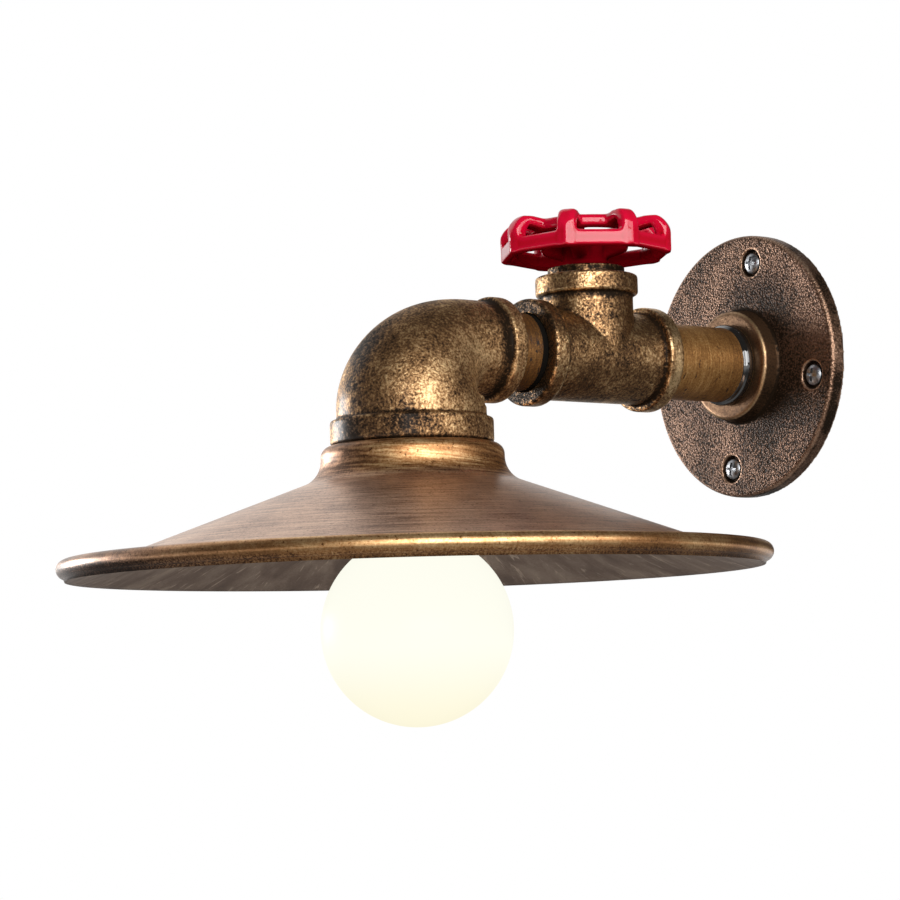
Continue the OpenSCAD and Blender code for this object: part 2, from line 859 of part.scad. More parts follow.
// One ring of the elbow's bend, turned from the outlet towards the inlet and shifted along its own way
function bend_ring(turn, shift) =
    let (
        r = mix(outlet_r - bend_slack, inlet_r, ease(turn / 90)),
        out = [0, -cos(turn), sin(turn)],
        way = [0, sin(turn), cos(turn)],
        centre = [0, bend_y, -elbow_bend] + shift * way
    )
    [
        for (j = [0:bend_sides - 1])
            let (a = 360 * j / bend_sides)
            centre + max(bend_core, elbow_bend + r * cos(a)) * out + [r * sin(a), 0, 0]
    ];

module elbow_bend_body() {
    lead_out = elbow_drop - elbow_bend - bead_round - 1;
    lead_in = elbow_run - elbow_bend - bead_round - 1;
    loft(concat(
        [bend_ring(0, -lead_out)],
        [for (i = [0:bend_steps]) bend_ring(90 * i / bend_steps, 0)],
        [bend_ring(90, lead_in)]
    ));
}

module reducing_elbow() {
    corner_h = sleeve_rise + bore_spare + corner_roof;
    color("saddlebrown") difference() {
        union() {
            elbow_bend_body();
            at_head(outlet_z + bead_round) cylinder(r = outlet_r, h = elbow_drop - elbow_bend - bead_round);
            intersection() {
                at_head(outlet_z + bead_round) cylinder(r = corner_r, h = corner_h - bead_round);
                at_head(outlet_z)
                    translate([-corner_r, corner_start, 0]) cube([2 * corner_r, corner_r, corner_h]);
            }
            at_head(outlet_z) bead(outlet_r + outlet_rise, outlet_collar_h);
            along_arm(elbow_near) bead(inlet_r + inlet_rise, inlet_bead_w);
        }
        at_head(outlet_z - 1) cylinder(r = outlet_bore_r, h = sleeve_rise + bore_spare + 1);
        along_arm(elbow_near - 1) cylinder(r = thread_r, h = grip + bore_spare + 1);
        along_arm(elbow_near) cylinder(r = bore_r, h = elbow_run - passage_stop);
        translate([0, bend_y - elbow_bend * cos(hollow_turn), elbow_bend * (sin(hollow_turn) - 1)])
            sphere(r = bend_hollow_r);
    }
}

// The shade's skin from its hole to the top of its cone, at a depth below its outer face
function shade_skin(depth) = concat(
    [[shade_hole_r, -depth]],
    arc(shade_neck_r - shade_shoulder, -shade_shoulder, shade_shoulder - depth, 90, 0, 6),
    arc(fillet_x, fillet_z, shade_fillet + depth, 180, 360 - 90 - shade_slope, 10)
);

function reversed(list) = [for (i = [len(list) - 1:-1:0]) list[i]];

// The rolled rim, from where it leaves the cone, over its top and back to the cone's edge
function shade_roll() =
    let (foot = -90 - shade_slope)
    arc(roll_x, roll_z, shade_roll_r, foot + 360 - roll_half, foot + roll_half, 32);

module shade() {
    roll = shade_roll();
    edge = roll[len(roll) - 1] - shade_sheet * [sin(shade_slope), cos(shade_slope)];
    color("sienna") at_head(outlet_z) rotate_extrude($fn = 128)
        polygon(concat(shade_skin(0), roll, [edge], reversed(shade_skin(shade_sheet))));
}

module holder_sleeve() {
    groove_h = ring_t + ring_gap;
    color("goldenrod") at_head() difference() {
        union() {
            translate([0, 0, sleeve_bottom]) cylinder(r = sleeve_r, h = sleeve_top - sleeve_bottom);
            translate([0, 0, sleeve_bottom]) cylinder(r = sleeve_flange_r, h = sleeve_flange_h);
        }
        translate([0, 0, sleeve_bottom - 1]) cylinder(r = sleeve_bore_r, h = body_top - sleeve_bottom + 1);
        translate([0, 0, sleeve_bottom]) cylinder(r = ledge_r, h = sleeve_top - sleeve_bottom + 1);
        translate([0, 0, ring_z - groove_h]) cylinder(r = sleeve_bore_r + ring_groove, h = groove_h);
    }
}

module retaining_ring() {
    color("silver") at_head(ring_z - ring_t) difference() {
        tube(sleeve_bore_r + ring_groove - ring_gap, skirt_r + ring_inner_gap, ring_t);
        translate([0, -ring_slot_w / 2, -1]) cube([sleeve_r, ring_slot_w, ring_t + 2]);
    }
}

module around_rivets() {
    for (i = [0:rivet_count - 1])
        rotate([0, 0, 360 * i / rivet_count])
            translate([rivet_ring_r, 0, 0])
                children();
}

module at_clamps() {
    for (way = [-1, 1])
        translate([way * clamp_x, 0, 0]) children();
}

module holder_body() {
    rivet_hole_h = clamp_bottom - cavity_top;
    color("white") at_head() difference() {
        union() {
            translate([0, 0, body_bottom]) cylinder(r = skirt_r, h = body_top - body_bottom);
            translate([0, 0, ring_z]) cylinder(r = body_r, h = body_top - ring_z);
        }
        translate([0, 0, body_bottom - 1]) cylinder(r = cavity_r, h = cavity_top - body_bottom + 1);
        at_clamps()
            translate([-clamp_w / 2 - clamp_gap, -clamp_l / 2 - clamp_gap, clamp_bottom])
                cube([clamp_w + 2 * clamp_gap, clamp_l + 2 * clamp_gap, clamp_h]);
        translate([0, 0, cavity_top - eps]) {
            around_rivets() cylinder(r = rivet_r + rivet_fit, h = rivet_hole_h + eps);
            translate([contact_rivet_x, 0, 0]) cylinder(r = rivet_r + rivet_fit, h = rivet_hole_h + eps);
        }
    }
}

// One ring of a screw thread, right-handed, whose crests stand out by its depth
function thread_ring(z, root, depth) = [
    for (j = [0:thread_sides - 1])
        let (
            a = 360 * j / thread_sides,
            r = root + depth * (1 + cos(360 * (z - tip_top) / cap_pitch - a)) / 2
        )
        [r * cos(a), r * sin(a), z]
];

function plain_ring(z, r) = thread_ring(z, r, 0);

// Heights of the rings along a thread
function thread_heights(z0, z1) =
    let (n = ceil((z1 - z0) * thread_steps / cap_pitch))
    [for (i = [0:n]) mix(z0, z1, i / n)];

// How far a thread has faded in at a height between its ends
function fade(z, z0, z1) = ease(min(1, min(z - z0, z1 - z) / thread_fade));

module screw_shell() {
    root = cap_root_r + cap_gap;
    color("gold") at_head() ring_tube(
        [plain_ring(shell_bottom, plate_out_r), plain_ring(shell_top, plate_out_r)],
        [
            for (z = thread_heights(shell_bottom, shell_top))
                let (f = fade(z, shell_bottom, shell_top))
                thread_ring(z, mix(root + cap_depth, root, f), cap_depth * f)
        ]
    );
}

module shell_plate() {
    color("gold") at_head(shell_top) difference() {
        tube(plate_out_r, plate_hole_r, shell_plate_t);
        around_rivets() translate([0, 0, -1]) cylinder(r = rivet_r + rivet_fit, h = shell_plate_t + 2);
    }
}

module shell_rivets() {
    color("goldenrod") at_head() around_rivets() {
        translate([0, 0, shell_top - rivet_head_t]) cylinder(r = rivet_head_r, h = rivet_head_t);
        translate([0, 0, shell_top - eps]) cylinder(r = rivet_r, h = clamp_bottom - shell_top + eps);
    }
}

module centre_contact() {
    low = cavity_top - contact_drop;
    color("gold") at_head() difference() {
        translate([0, contact_w / 2, 0]) rotate([90, 0, 0]) linear_extrude(contact_w) polygon([
            [contact_x0, cavity_top], [contact_x1, cavity_top],
            [contact_x2, low + contact_t], [contact_x3, low + contact_t],
            [contact_x3, low], [contact_x2 - contact_t, low],
            [contact_x1 - contact_t, cavity_top - contact_t], [contact_x0, cavity_top - contact_t]
        ]);
        translate([contact_rivet_x, 0, low]) cylinder(r = rivet_r + rivet_fit, h = contact_drop + 1);
    }
}

module contact_rivet() {
    head_top = cavity_top - contact_t;
    color("goldenrod") at_head() translate([contact_rivet_x, 0, 0]) {
        translate([0, 0, head_top - rivet_head_t]) cylinder(r = contact_rivet_head_r, h = rivet_head_t);
        translate([0, 0, head_top - eps]) cylinder(r = rivet_r, h = clamp_bottom - head_top + eps);
    }
}

module terminal_clamps() {
    color("gold") at_head() at_clamps() difference() {
        translate([-clamp_w / 2, -clamp_l / 2, clamp_bottom]) cube([clamp_w, clamp_l, clamp_h]);
        translate([0, clamp_screw_y, clamp_bottom + clamp_floor])
            cylinder(r = clamp_screw_r + fit_gap, h = clamp_h);
    }
}

module terminal_screws() {
    color("silver") at_head() at_clamps() translate([0, clamp_screw_y, 0]) {
        translate([0, 0, clamp_top]) difference() {
            cylinder(r = clamp_screw_head_r, h = clamp_screw_head_h);
            translate([-clamp_screw_head_r, -slot_w / 2, clamp_screw_head_h / 2])
                cube([2 * clamp_screw_head_r, slot_w, clamp_screw_head_h]);
        }
        translate([0, 0, clamp_bottom + clamp_screw_end])
            cylinder(r = clamp_screw_r, h = clamp_h - clamp_screw_end + eps);
    }
}

// Outline of the glass from its tucked neck round to the globe's end, at a depth below its outer face
function glass_skin(depth) = concat(
    [[cap_bore_r - glass_fit - depth, cap_rim + glass_tuck]],
    [[cap_bore_r - glass_fit - depth, cap_rim - depth]],
    [[glass_neck_r - depth, cap_rim - depth]],
    arc(glass_fillet_x, glass_fillet_z, glass_fillet + depth, 180, 180 + globe_turn, 8),
    [for (p = arc(0, globe_z, globe_r - depth, globe_turn, -90, 40)) [max(0, p[0]), p[1]]]
);

module lamp_globe() {
    color("ivory") at_head() rotate_extrude($fn = 96)
        polygon(concat(glass_skin(0), reversed(glass_skin(glass_t))));
}

module lamp_cap() {
    thread_low = cap_rim + cap_skirt_h;
    color("gainsboro") at_head() ring_tube(
        concat(
            [plain_ring(cap_rim, cap_crest_r), plain_ring(cap_rim + cap_skirt_h / 2, cap_crest_r)],
            [
                for (z = thread_heights(thread_low, cap_top))
                    thread_ring(z, cap_root_r, cap_depth * fade(z, thread_low, cap_top))
            ]
        ),
        [plain_ring(cap_rim, cap_bore_r), plain_ring(cap_top, cap_bore_r)]
    );
}

module lamp_insulator() {
    color("dimgray") at_head(cap_top) difference() {
        cylinder(r1 = insulator_r, r2 = insulator_tip_r, h = insulator_h);
        translate([0, 0, -1]) cylinder(r = rivet_r, h = insulator_h + 2);
    }
}

module lamp_tip() {
    color("silver") at_head(tip_top - tip_h) rotate_extrude() polygon([
        [0, 0], [tip_r, 0], [tip_r - tip_curve, tip_h - tip_curve], [tip_flat_r, tip_h], [0, tip_h]
    ]);
}

module lamp_stem() {
    disc_r = cap_bore_r - glass_fit - glass_t - stem_fit;
    color("lightcyan") at_head() rotate_extrude() polygon([
        [0, stem_bottom], [stem_r, stem_bottom], [stem_r, stem_top - 3 * stem_disc_t],
        [disc_r, stem_top - stem_disc_t], [disc_r, stem_top], [0, stem_top]
    ]);
}

module lamp_leads() {
    color("silver") at_head() for (way = [-1, 1])
        wire([
            [way * lead_wire_x, 0, stem_bottom],
            [way * lead_wire_x, 0, lead_bend_z],
            [way * filament_r, 0, lead_bend_z],
            [way * filament_r, 0, filament_z + filament_wire_r + fit_gap]
        ], lead_wire_r, 6);
}

module lamp_filament() {
    color("orange") at_head(filament_z) rotate_extrude(angle = 180)
        translate([filament_r, 0]) circle(r = filament_wire_r, $fn = 16);
}

module at_block_ways() {
    for (way = [-1, 1])
        translate([way * block_w / 4, 0, 0]) children();
}

module at_block_screws() {
    at_block_ways()
        for (share = [0.25, 0.75])
            translate([0, -mix(block_start, block_end, share), block_z + block_h]) children();
}

module terminal_block() {
    color("whitesmoke") difference() {
        translate([-block_w / 2, -block_end, block_z]) cube([block_w, block_l, block_h]);
        at_block_ways()
            translate([0, 0, block_z + block_h / 2])
                along_arm(block_start - 1) cylinder(r = block_way_r, h = block_l / 2 + 1);
        at_block_screws()
            translate([0, 0, -block_screw_h]) cylinder(r = block_screw_r + fit_gap, h = block_screw_h + 1);
    }
}

module block_screws() {
    color("gold") at_block_screws()
        translate([0, 0, -block_screw_h]) difference() {
            cylinder(r = block_screw_r, h = block_screw_h + block_screw_proud);
            translate([-block_screw_r, -slot_w / 2, block_screw_h])
                cube([2 * block_screw_r, slot_w, block_screw_h]);
        }
}

module supply_flex() {
    color("dimgray") along_arm(block_end) cylinder(r = flex_r, h = flex_end - block_end);
}

module lamp_flex() {
    color("dimgray") along_arm(lamp_flex_start) cylinder(r = flex_r, h = lamp_flex_end - lamp_flex_start);
}

// A core that leaves a flex along the arm and turns up to a lug
module lug_core(from, lug) {
    bend = (lug - from) * core_pull;
    wire([
        [0, -from, core_offset], [0, -from - bend, core_offset],
        [0, -lug, core_offset], [0, -lug, lug_bottom]
    ], core_r);
}

module live_core() {
    color("sienna") lug_core(flex_end, tee_axis - lug_x);
}

module switched_core() {
    color("black") lug_core(lamp_flex_start - flex_gap, tee_axis + lug_x);
}

module neutral_core() {
    color("royalblue") translate([0, 0, -core_offset])
        along_arm(flex_end) cylinder(r = core_r, h = lamp_flex_start - flex_gap - flex_end);
}

module holder_cores() {
    land_y = clamp_core_y - elbow_axis;
    color("black") for (way = [-1, 1])
        wire([
            [way * core_offset, -lamp_flex_end, 0],
            [way * core_offset, mix(-lamp_flex_end, land_y, core_pull), 0],
            [way * clamp_x, land_y, mix(clamp_top, 0, core_pull)],
            [way * clamp_x, land_y, clamp_top]
        ], core_r);
}

wall_flange();
wall_screws();
wall_nipple();
tee();
bonnet_plug();
switch_case();
switch_base();
switch_lugs();
switch_washer();
switch_nut();
switch_rotor();
switch_wiper();
switch_spindle();
handwheel();
wheel_washer();
wheel_screw();
elbow_nipple();
reducing_elbow();
shade();
holder_sleeve();
retaining_ring();
holder_body();
screw_shell();
shell_plate();
shell_rivets();
centre_contact();
contact_rivet();
terminal_clamps();
terminal_screws();
lamp_globe();
lamp_cap();
lamp_insulator();
lamp_tip();
lamp_stem();
lamp_leads();
lamp_filament();
terminal_block();
block_screws();
supply_flex();
live_core();
switched_core();
neutral_core();
lamp_flex();
holder_cores();
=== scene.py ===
import json
import math

import bmesh
import bpy
import numpy as np
from mathutils import Matrix, Vector


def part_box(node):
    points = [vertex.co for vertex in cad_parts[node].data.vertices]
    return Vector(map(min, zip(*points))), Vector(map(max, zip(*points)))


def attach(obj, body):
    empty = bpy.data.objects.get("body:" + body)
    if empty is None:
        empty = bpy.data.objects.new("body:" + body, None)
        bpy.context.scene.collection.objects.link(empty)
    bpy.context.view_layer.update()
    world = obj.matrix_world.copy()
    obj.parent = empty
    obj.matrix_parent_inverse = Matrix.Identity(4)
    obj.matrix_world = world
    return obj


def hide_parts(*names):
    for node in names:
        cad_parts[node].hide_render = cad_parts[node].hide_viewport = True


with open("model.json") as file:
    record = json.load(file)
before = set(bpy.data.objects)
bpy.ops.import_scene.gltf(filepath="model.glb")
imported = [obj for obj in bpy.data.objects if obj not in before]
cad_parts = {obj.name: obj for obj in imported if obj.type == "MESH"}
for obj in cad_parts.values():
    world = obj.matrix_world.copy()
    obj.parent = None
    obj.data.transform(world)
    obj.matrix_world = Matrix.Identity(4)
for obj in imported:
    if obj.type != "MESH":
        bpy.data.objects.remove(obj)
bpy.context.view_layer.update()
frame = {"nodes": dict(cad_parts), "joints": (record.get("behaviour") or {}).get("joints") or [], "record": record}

MM = 0.001
TINY = 1e-6
X, Y, Z = 0, 1, 2
BULGE = "store_bulge"
BULGE_SPREAD = 0.6
NODES = frame["nodes"]
JOINTS = {joint["name"]: joint for joint in frame["joints"]}


def span(node, axis):
    """The lowest and highest coordinate of a CAD node along an axis, in millimetres."""
    low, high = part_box(node)
    return low[axis] / MM, high[axis] / MM


# Sizes and places, in millimetres; distances along the arm count from the wall, towards -Y

# From the frame
TEE_AXIS = -JOINTS["wheel_turn"]["pos_m"][Y] / MM
HEAD = -JOINTS["lamp_turn"]["pos_m"][Y] / MM
OUTLET_Z = span("reducing_elbow", Z)[0]
PIPE_R = span("elbow_nipple", X)[1]
WHEEL_TOP = span("handwheel", Z)[1]

# Pipes
PIPE_IN_R = 9.85
CHAMFER = 0.6
BEAD_H = 1.2
PIPE_STEPS = 160
PIPE_SEGMENTS = 160

# Elbow, whose round section shrinks along the bend from outlet to inlet
BEND = 20.5
BEND_Y = BEND - HEAD
OUTLET_R = 23.54
INLET_R = 15.54
BEND_CATCH = 0.45
BEND_CORE = 2.0

# Handwheel
WHEEL_R = 28.6
WHEEL_SIDES = 8
WHEEL_TURN = math.radians(-6.5)
WHEEL_GAP = 0.01
RIB_FOOT_Z = 37.6
RIB_FADE = 5.0
RIB_CURVE = 0.10
RIM_FLAT = 0.3

# Shade, with heights counted from the elbow's outlet and its slope in degrees
HOLE_R = 21.1
NECK_R = 28.75
SHOULDER = 3.6
NECK_WALL = 0.7
FILLET = 8.5
SLOPE = 20.2
SHEET = 1.0
SHADE_R = 110.8
ROLL_R = 2.9
SHADE_SEGMENTS = 288
SHOULDER_STEPS = 10
FILLET_STEPS = 18
CONE_STEPS = 40
ROLL_STEPS = 40
SLOPE_SIN = math.sin(math.radians(SLOPE))
SLOPE_COS = math.cos(math.radians(SLOPE))
FILLET_X = NECK_R + FILLET
FILLET_Z = -SHOULDER - NECK_WALL
CONE_R = FILLET_X - FILLET * SLOPE_SIN
CONE_Z = FILLET_Z - FILLET * SLOPE_COS
ROLL_X = SHADE_R - ROLL_R
ROLL_RISE = ROLL_R - SHEET / 2
ROLL_Z = CONE_Z - (ROLL_X - CONE_R) * math.tan(math.radians(SLOPE)) + ROLL_RISE / SLOPE_COS
ROLL_HALF = math.degrees(math.acos(ROLL_RISE / ROLL_R))

# Globe, whose neck runs into the ball through a fillet
GLOBE_R = 30.0
GLOBE_Z = -89.23
GLASS_T = 0.8
GLASS_NECK_R = 12.6
GLASS_FILLET = 8.0
GLASS_RIM_Z = -55.1
MOUTH_R = 11.3
MOUTH_H = 4.0
GLOBE_SEGMENTS = 160
GLASS_STEPS = 12
BALL_STEPS = 72
GLASS_X = GLASS_NECK_R + GLASS_FILLET
GLASS_Z = GLOBE_Z + math.sqrt((GLOBE_R + GLASS_FILLET) ** 2 - GLASS_X ** 2)
GLASS_TURN = math.degrees(math.atan2(GLASS_Z - GLOBE_Z, GLASS_X))


# Meshes

def new_object(name, data):
    obj = bpy.data.objects.new(name, data)
    bpy.context.scene.collection.objects.link(obj)
    return obj


def reworked(mesh, change):
    """Runs change on an editable copy of a mesh and writes the result back."""
    bm = bmesh.new()
    bm.from_mesh(mesh)
    change(bm)
    bm.to_mesh(mesh)
    bm.free()


def smooth_faces(mesh):
    mesh.polygons.foreach_set("use_smooth", [True] * len(mesh.polygons))


def vectors_of(mesh, what):
    """The places ("co") or normals ("normal") of a mesh's points, one row each."""
    values = np.empty(len(mesh.vertices) * 3)
    mesh.vertices.foreach_get(what, values)
    return values.reshape(-1, 3)


def on_arm(r, h, a):
    return (r * math.cos(a), -h, r * math.sin(a))


def on_head(r, h, a):
    return (r * math.cos(a), -HEAD + r * math.sin(a), h)


def lathe(name, profile, place, segments):
    """A closed ring of (radius, height) points turned about an axis; a point at radius 0 becomes a pole."""
    verts, rows = [], []
    for r, h in profile:
        if r < TINY:
            rows.append([len(verts)] * segments)
            verts.append(place(0, h, 0))
        else:
            rows.append(list(range(len(verts), len(verts) + segments)))
            verts += [place(r, h, 2 * math.pi * k / segments) for k in range(segments)]
    faces = []
    for a, b in zip(rows, rows[1:] + rows[:1]):
        for k in range(segments):
            n = (k + 1) % segments
            ring = [a[k], a[n], b[n], b[k]]
            face = [v for j, v in enumerate(ring) if v != ring[j - 1]]
            if len(face) > 2:
                faces.append(face)
    mesh = bpy.data.meshes.new(name)
    mesh.from_pydata([Vector(v) * MM for v in verts], [], faces)
    mesh.validate()
    mesh.update()
    smooth_faces(mesh)
    reworked(mesh, lambda bm: bmesh.ops.recalc_face_normals(bm, faces=bm.faces))
    return new_object(name, mesh)


def arc(x, y, r, a0, a1, n):
    """Points on an arc in n steps, between two angles in degrees."""
    turns = [math.radians(a0 + (a1 - a0) * i / n) for i in range(n + 1)]
    return [(x + r * math.cos(a), y + r * math.sin(a)) for a in turns]


def between(p, q, n):
    """The points that part a line into n steps, without its ends."""
    return [(p[0] + (q[0] - p[0]) * i / n, p[1] + (q[1] - p[1]) * i / n) for i in range(1, n)]


def applied(obj):
    """Puts the result of an object's modifiers in its mesh."""
    graph = bpy.context.evaluated_depsgraph_get()
    mesh = bpy.data.meshes.new_from_object(obj.evaluated_get(graph))
    obj.modifiers.clear()
    old = obj.data
    obj.data = mesh
    bpy.data.meshes.remove(old)


def soften(obj, rounds):
    smooth = obj.modifiers.new("soften", "SMOOTH")
    smooth.factor = 0.5
    smooth.iterations = rounds


def store_bulge(mesh, spread):
    """Stores how far each point stands out (+) or lies in a corner (-), in 1/mm, as an attribute; castings rub by
    it and the enamel takes painted shade from it.
    """
    count = len(mesh.vertices)
    co = vectors_of(mesh, "co") / MM
    edges = np.empty(len(mesh.edges) * 2, dtype=np.int64)
    mesh.edges.foreach_get("vertices", edges)
    a, b = edges.reshape(-1, 2).T
    weight = np.bincount(a, minlength=count) + np.bincount(b, minlength=count)
    weight = np.maximum(weight, 1).astype(float)

    def near(values):
        total = np.zeros_like(values)
        np.add.at(total, a, values[b])
        np.add.at(total, b, values[a])
        return total / weight.reshape((-1,) + (1,) * (values.ndim - 1))

    squares = np.sum((co[a] - co[b]) ** 2, axis=1)
    length2 = (np.bincount(a, squares, count) + np.bincount(b, squares, count)) / weight
    bend = np.sum((co - near(co)) * vectors_of(mesh, "normal"), axis=1) * 2 / np.maximum(length2, TINY)
    for _ in range(spread):
        bend = (1 - BULGE_SPREAD) * bend + BULGE_SPREAD * near(bend)
    layer = mesh.attributes.new(BULGE, "FLOAT", "POINT")
    layer.data.foreach_set("value", bend.astype(np.float32))


def round_ribs(co):
    """Rounds each rib's foot into the rim and keeps the softened handwheel below its drawn height."""
    x, y = co[:, X], co[:, Y] + TEE_AXIS
    step = 2 * math.pi / WHEEL_SIDES
    at = np.arctan2(y, x) - WHEEL_TURN
    axis = np.round(at / step) * step
    far = np.hypot(x, y)
    along, across = far * np.cos(at - axis), far * np.sin(at - axis)
    flat = WHEEL_R + RIM_FLAT - np.abs(across) * math.tan(step / 2)
    limit = np.maximum(WHEEL_R - RIB_CURVE * across ** 2, flat)
    share = np.clip((RIB_FOOT_Z + RIB_FADE - co[:, Z]) / RIB_FADE, 0, 1)
    along -= share * np.maximum(along - limit, 0)
    turn = axis + WHEEL_TURN
    co[:, X] = along * np.cos(turn) - across * np.sin(turn)
    co[:, Y] = along * np.sin(turn) + across * np.cos(turn) - TEE_AXIS
    co[:, Z] = np.minimum(co[:, Z], WHEEL_TOP - WHEEL_GAP)
    return co


def round_bend(co):
    """Moves points that lie within BEND_CATCH of the elbow's bend onto its smooth surface."""
    quarter = math.pi / 2
    across, rise = BEND_Y - co[:, Y], co[:, Z] + BEND
    turn = np.arctan2(rise, across)
    share = np.clip(turn / quarter, 0, 1)
    radius = OUTLET_R + (INLET_R - OUTLET_R) * share * share * (3 - 2 * share)
    side = np.hypot(across, rise) - BEND
    size = np.hypot(side, co[:, X])
    on_bend = (turn > 0) & (turn < quarter) & (side > BEND_CORE - BEND)
    near = on_bend & (np.abs(size - radius) < BEND_CATCH)
    scale = np.where(near, radius / np.maximum(size, TINY), 1.0)
    reach = BEND + side * scale
    co[near, X] *= scale[near]
    co[near, Y] = (BEND_Y - reach * np.cos(turn))[near]
    co[near, Z] = (reach * np.sin(turn) - BEND)[near]
    return co


def casting(node, voxel, rounds, spread=4, shape=None, swell=0.0, settle=0):
    """The CAD solid with a casting's soft edges and fillets; swell makes up for what the softening thins."""
    mesh = NODES[node].data.copy()
    mesh.materials.clear()
    reworked(mesh, lambda bm: bmesh.ops.remove_doubles(bm, verts=bm.verts, dist=TINY))
    obj = new_object("cast_" + node, mesh)
    remesh = obj.modifiers.new("remesh", "REMESH")
    remesh.mode = "VOXEL"
    remesh.voxel_size = voxel * MM
    soften(obj, rounds)
    if swell:
        thicken = obj.modifiers.new("thicken", "DISPLACE")
        thicken.mid_level = 0.0
        thicken.strength = swell * MM
    applied(obj)
    if shape:
        co = shape(vectors_of(obj.data, "co") / MM) * MM
        obj.data.vertices.foreach_set("co", co.ravel())
        obj.data.update()
    if settle:
        soften(obj, settle)
        applied(obj)
    smooth_faces(obj.data)
    store_bulge(obj.data, spread)
    return obj


# Materials

class Nodes:
    """A node tree under construction; most methods add a node and return the socket of its result."""

    def __init__(self, tree):
        self.tree = tree

    def node(self, kind, **settings):
        item = self.tree.nodes.new(kind)
        for key, value in settings.items():
            setattr(item, key, value)
        return item

    def put(self, socket, value):
        """Links a socket to another, or sets it to a number, vector or colour."""
        if isinstance(value, bpy.types.NodeSocket):
            self.tree.links.new(value, socket)
        else:
            socket.default_value = value

    def filled(self, item, *values):
        for socket, value in zip(item.inputs, values):
            self.put(socket, value)
        return item

    def math(self, kind, *values):
        return self.filled(self.node("ShaderNodeMath", operation=kind), *values).outputs[0]

    def times(self, a, b):
        return self.math("MULTIPLY", a, b)

    def plus(self, base, value, share=1.0):
        """base + value * share"""
        return self.math("MULTIPLY_ADD", value, share, base)

    def largest(self, a, b):
        return self.math("MAXIMUM", a, b)

    def distance(self, a, b):
        return self.math("SQRT", self.plus(self.times(b, b), a, a))

    def ramp(self, value, low, high, to_low=0.0, to_high=1.0, kind="SMOOTHSTEP"):
        """Goes from to_low to to_high while value goes from low to high."""
        item = self.node("ShaderNodeMapRange", interpolation_type=kind)
        return self.filled(item, value, low, high, to_low, to_high).outputs["Result"]

    def zone(self, value, start, end, to_low=0.0, to_high=1.0):
        """A ramp between two places in millimetres."""
        return self.ramp(value, start * MM, end * MM, to_low, to_high)

    def pick(self, mask, off, on):
        """off where the mask is 0 and on where it is 1"""
        return self.ramp(mask, 0.0, 1.0, off, on)

    def ray_kinds(self):
        """Sockets that are 1 for rays from the camera, and for rays by way of a glossy or clear surface."""
        path = self.node("ShaderNodeLightPath").outputs
        return path["Is Camera Ray"], self.largest(path["Is Glossy Ray"], path["Is Transmission Ray"])


class Shader(Nodes):
    """A material under construction, with its patterns in the object's own coordinates."""

    def __init__(self, name):
        self.mat = bpy.data.materials.new(name)
        self.mat.use_nodes = True
        super().__init__(self.mat.node_tree)
        self.bsdf = self.tree.nodes["Principled BSDF"]
        self.out = self.tree.nodes["Material Output"]
        self.point = self.node("ShaderNodeTexCoord").outputs["Object"]

    def split(self, vector):
        return self.filled(self.node("ShaderNodeSeparateXYZ"), vector).outputs

    def join(self, x, y, z):
        return self.filled(self.node("ShaderNodeCombineXYZ"), x, y, z).outputs[0]

    def axis(self, name):
        return self.split(self.point)[name]

    def stretched(self, scales):
        item = self.node("ShaderNodeMapping")
        item.inputs["Scale"].default_value = scales
        self.put(item.inputs["Vector"], self.point)
        return item.outputs["Vector"]

    def noise(self, scale, detail=4.0, rough=0.55, at=None, distortion=0.0):
        item = self.node("ShaderNodeTexNoise")
        item.inputs["Scale"].default_value = scale
        item.inputs["Detail"].default_value = detail
        item.inputs["Roughness"].default_value = rough
        item.inputs["Distortion"].default_value = distortion
        self.put(item.inputs["Vector"], at or self.point)
        return item.outputs["Fac"]

    def cells(self, scale):
        item = self.node("ShaderNodeTexVoronoi")
        item.inputs["Scale"].default_value = scale
        self.put(item.inputs["Vector"], self.point)
        return item.outputs["Distance"]

    def worn(self):
        return self.node("ShaderNodeAttribute", attribute_name=BULGE).outputs["Fac"]

    def colours(self, value, stops, tones):
        item = self.node("ShaderNodeValToRGB")
        points = item.color_ramp.elements
        while len(points) < len(stops):
            points.new(0.5)
        for point, stop, tone in zip(points, stops, tones):
            point.position = stop
            point.color = (*tone, 1)
        self.put(item.inputs[0], value)
        return item.outputs["Color"]

    def mix(self, value, a, b):
        item = self.node("ShaderNodeMix", data_type="RGBA")
        self.put(item.inputs["Factor"], value)
        for socket, tone in zip((item.inputs[6], item.inputs[7]), (a, b)):
            self.put(socket, tone if isinstance(tone, bpy.types.NodeSocket) else (*tone, 1))
        return item.outputs[2]

    def bump(self, height, depth, strength=1.0):
        """Bump from a height, with its depth in millimetres."""
        item = self.node("ShaderNodeBump")
        item.inputs["Strength"].default_value = strength
        item.inputs["Distance"].default_value = depth * MM
        self.put(item.inputs["Height"], height)
        return item.outputs["Normal"]

    def set(self, **values):
        for key, value in values.items():
            self.put(self.bsdf.inputs[key.replace("_", " ")], value)

    def lacquer(self, weight, rough, tint):
        self.set(Coat_Weight=weight, Coat_Roughness=rough, Specular_Tint=(*tint, 1))


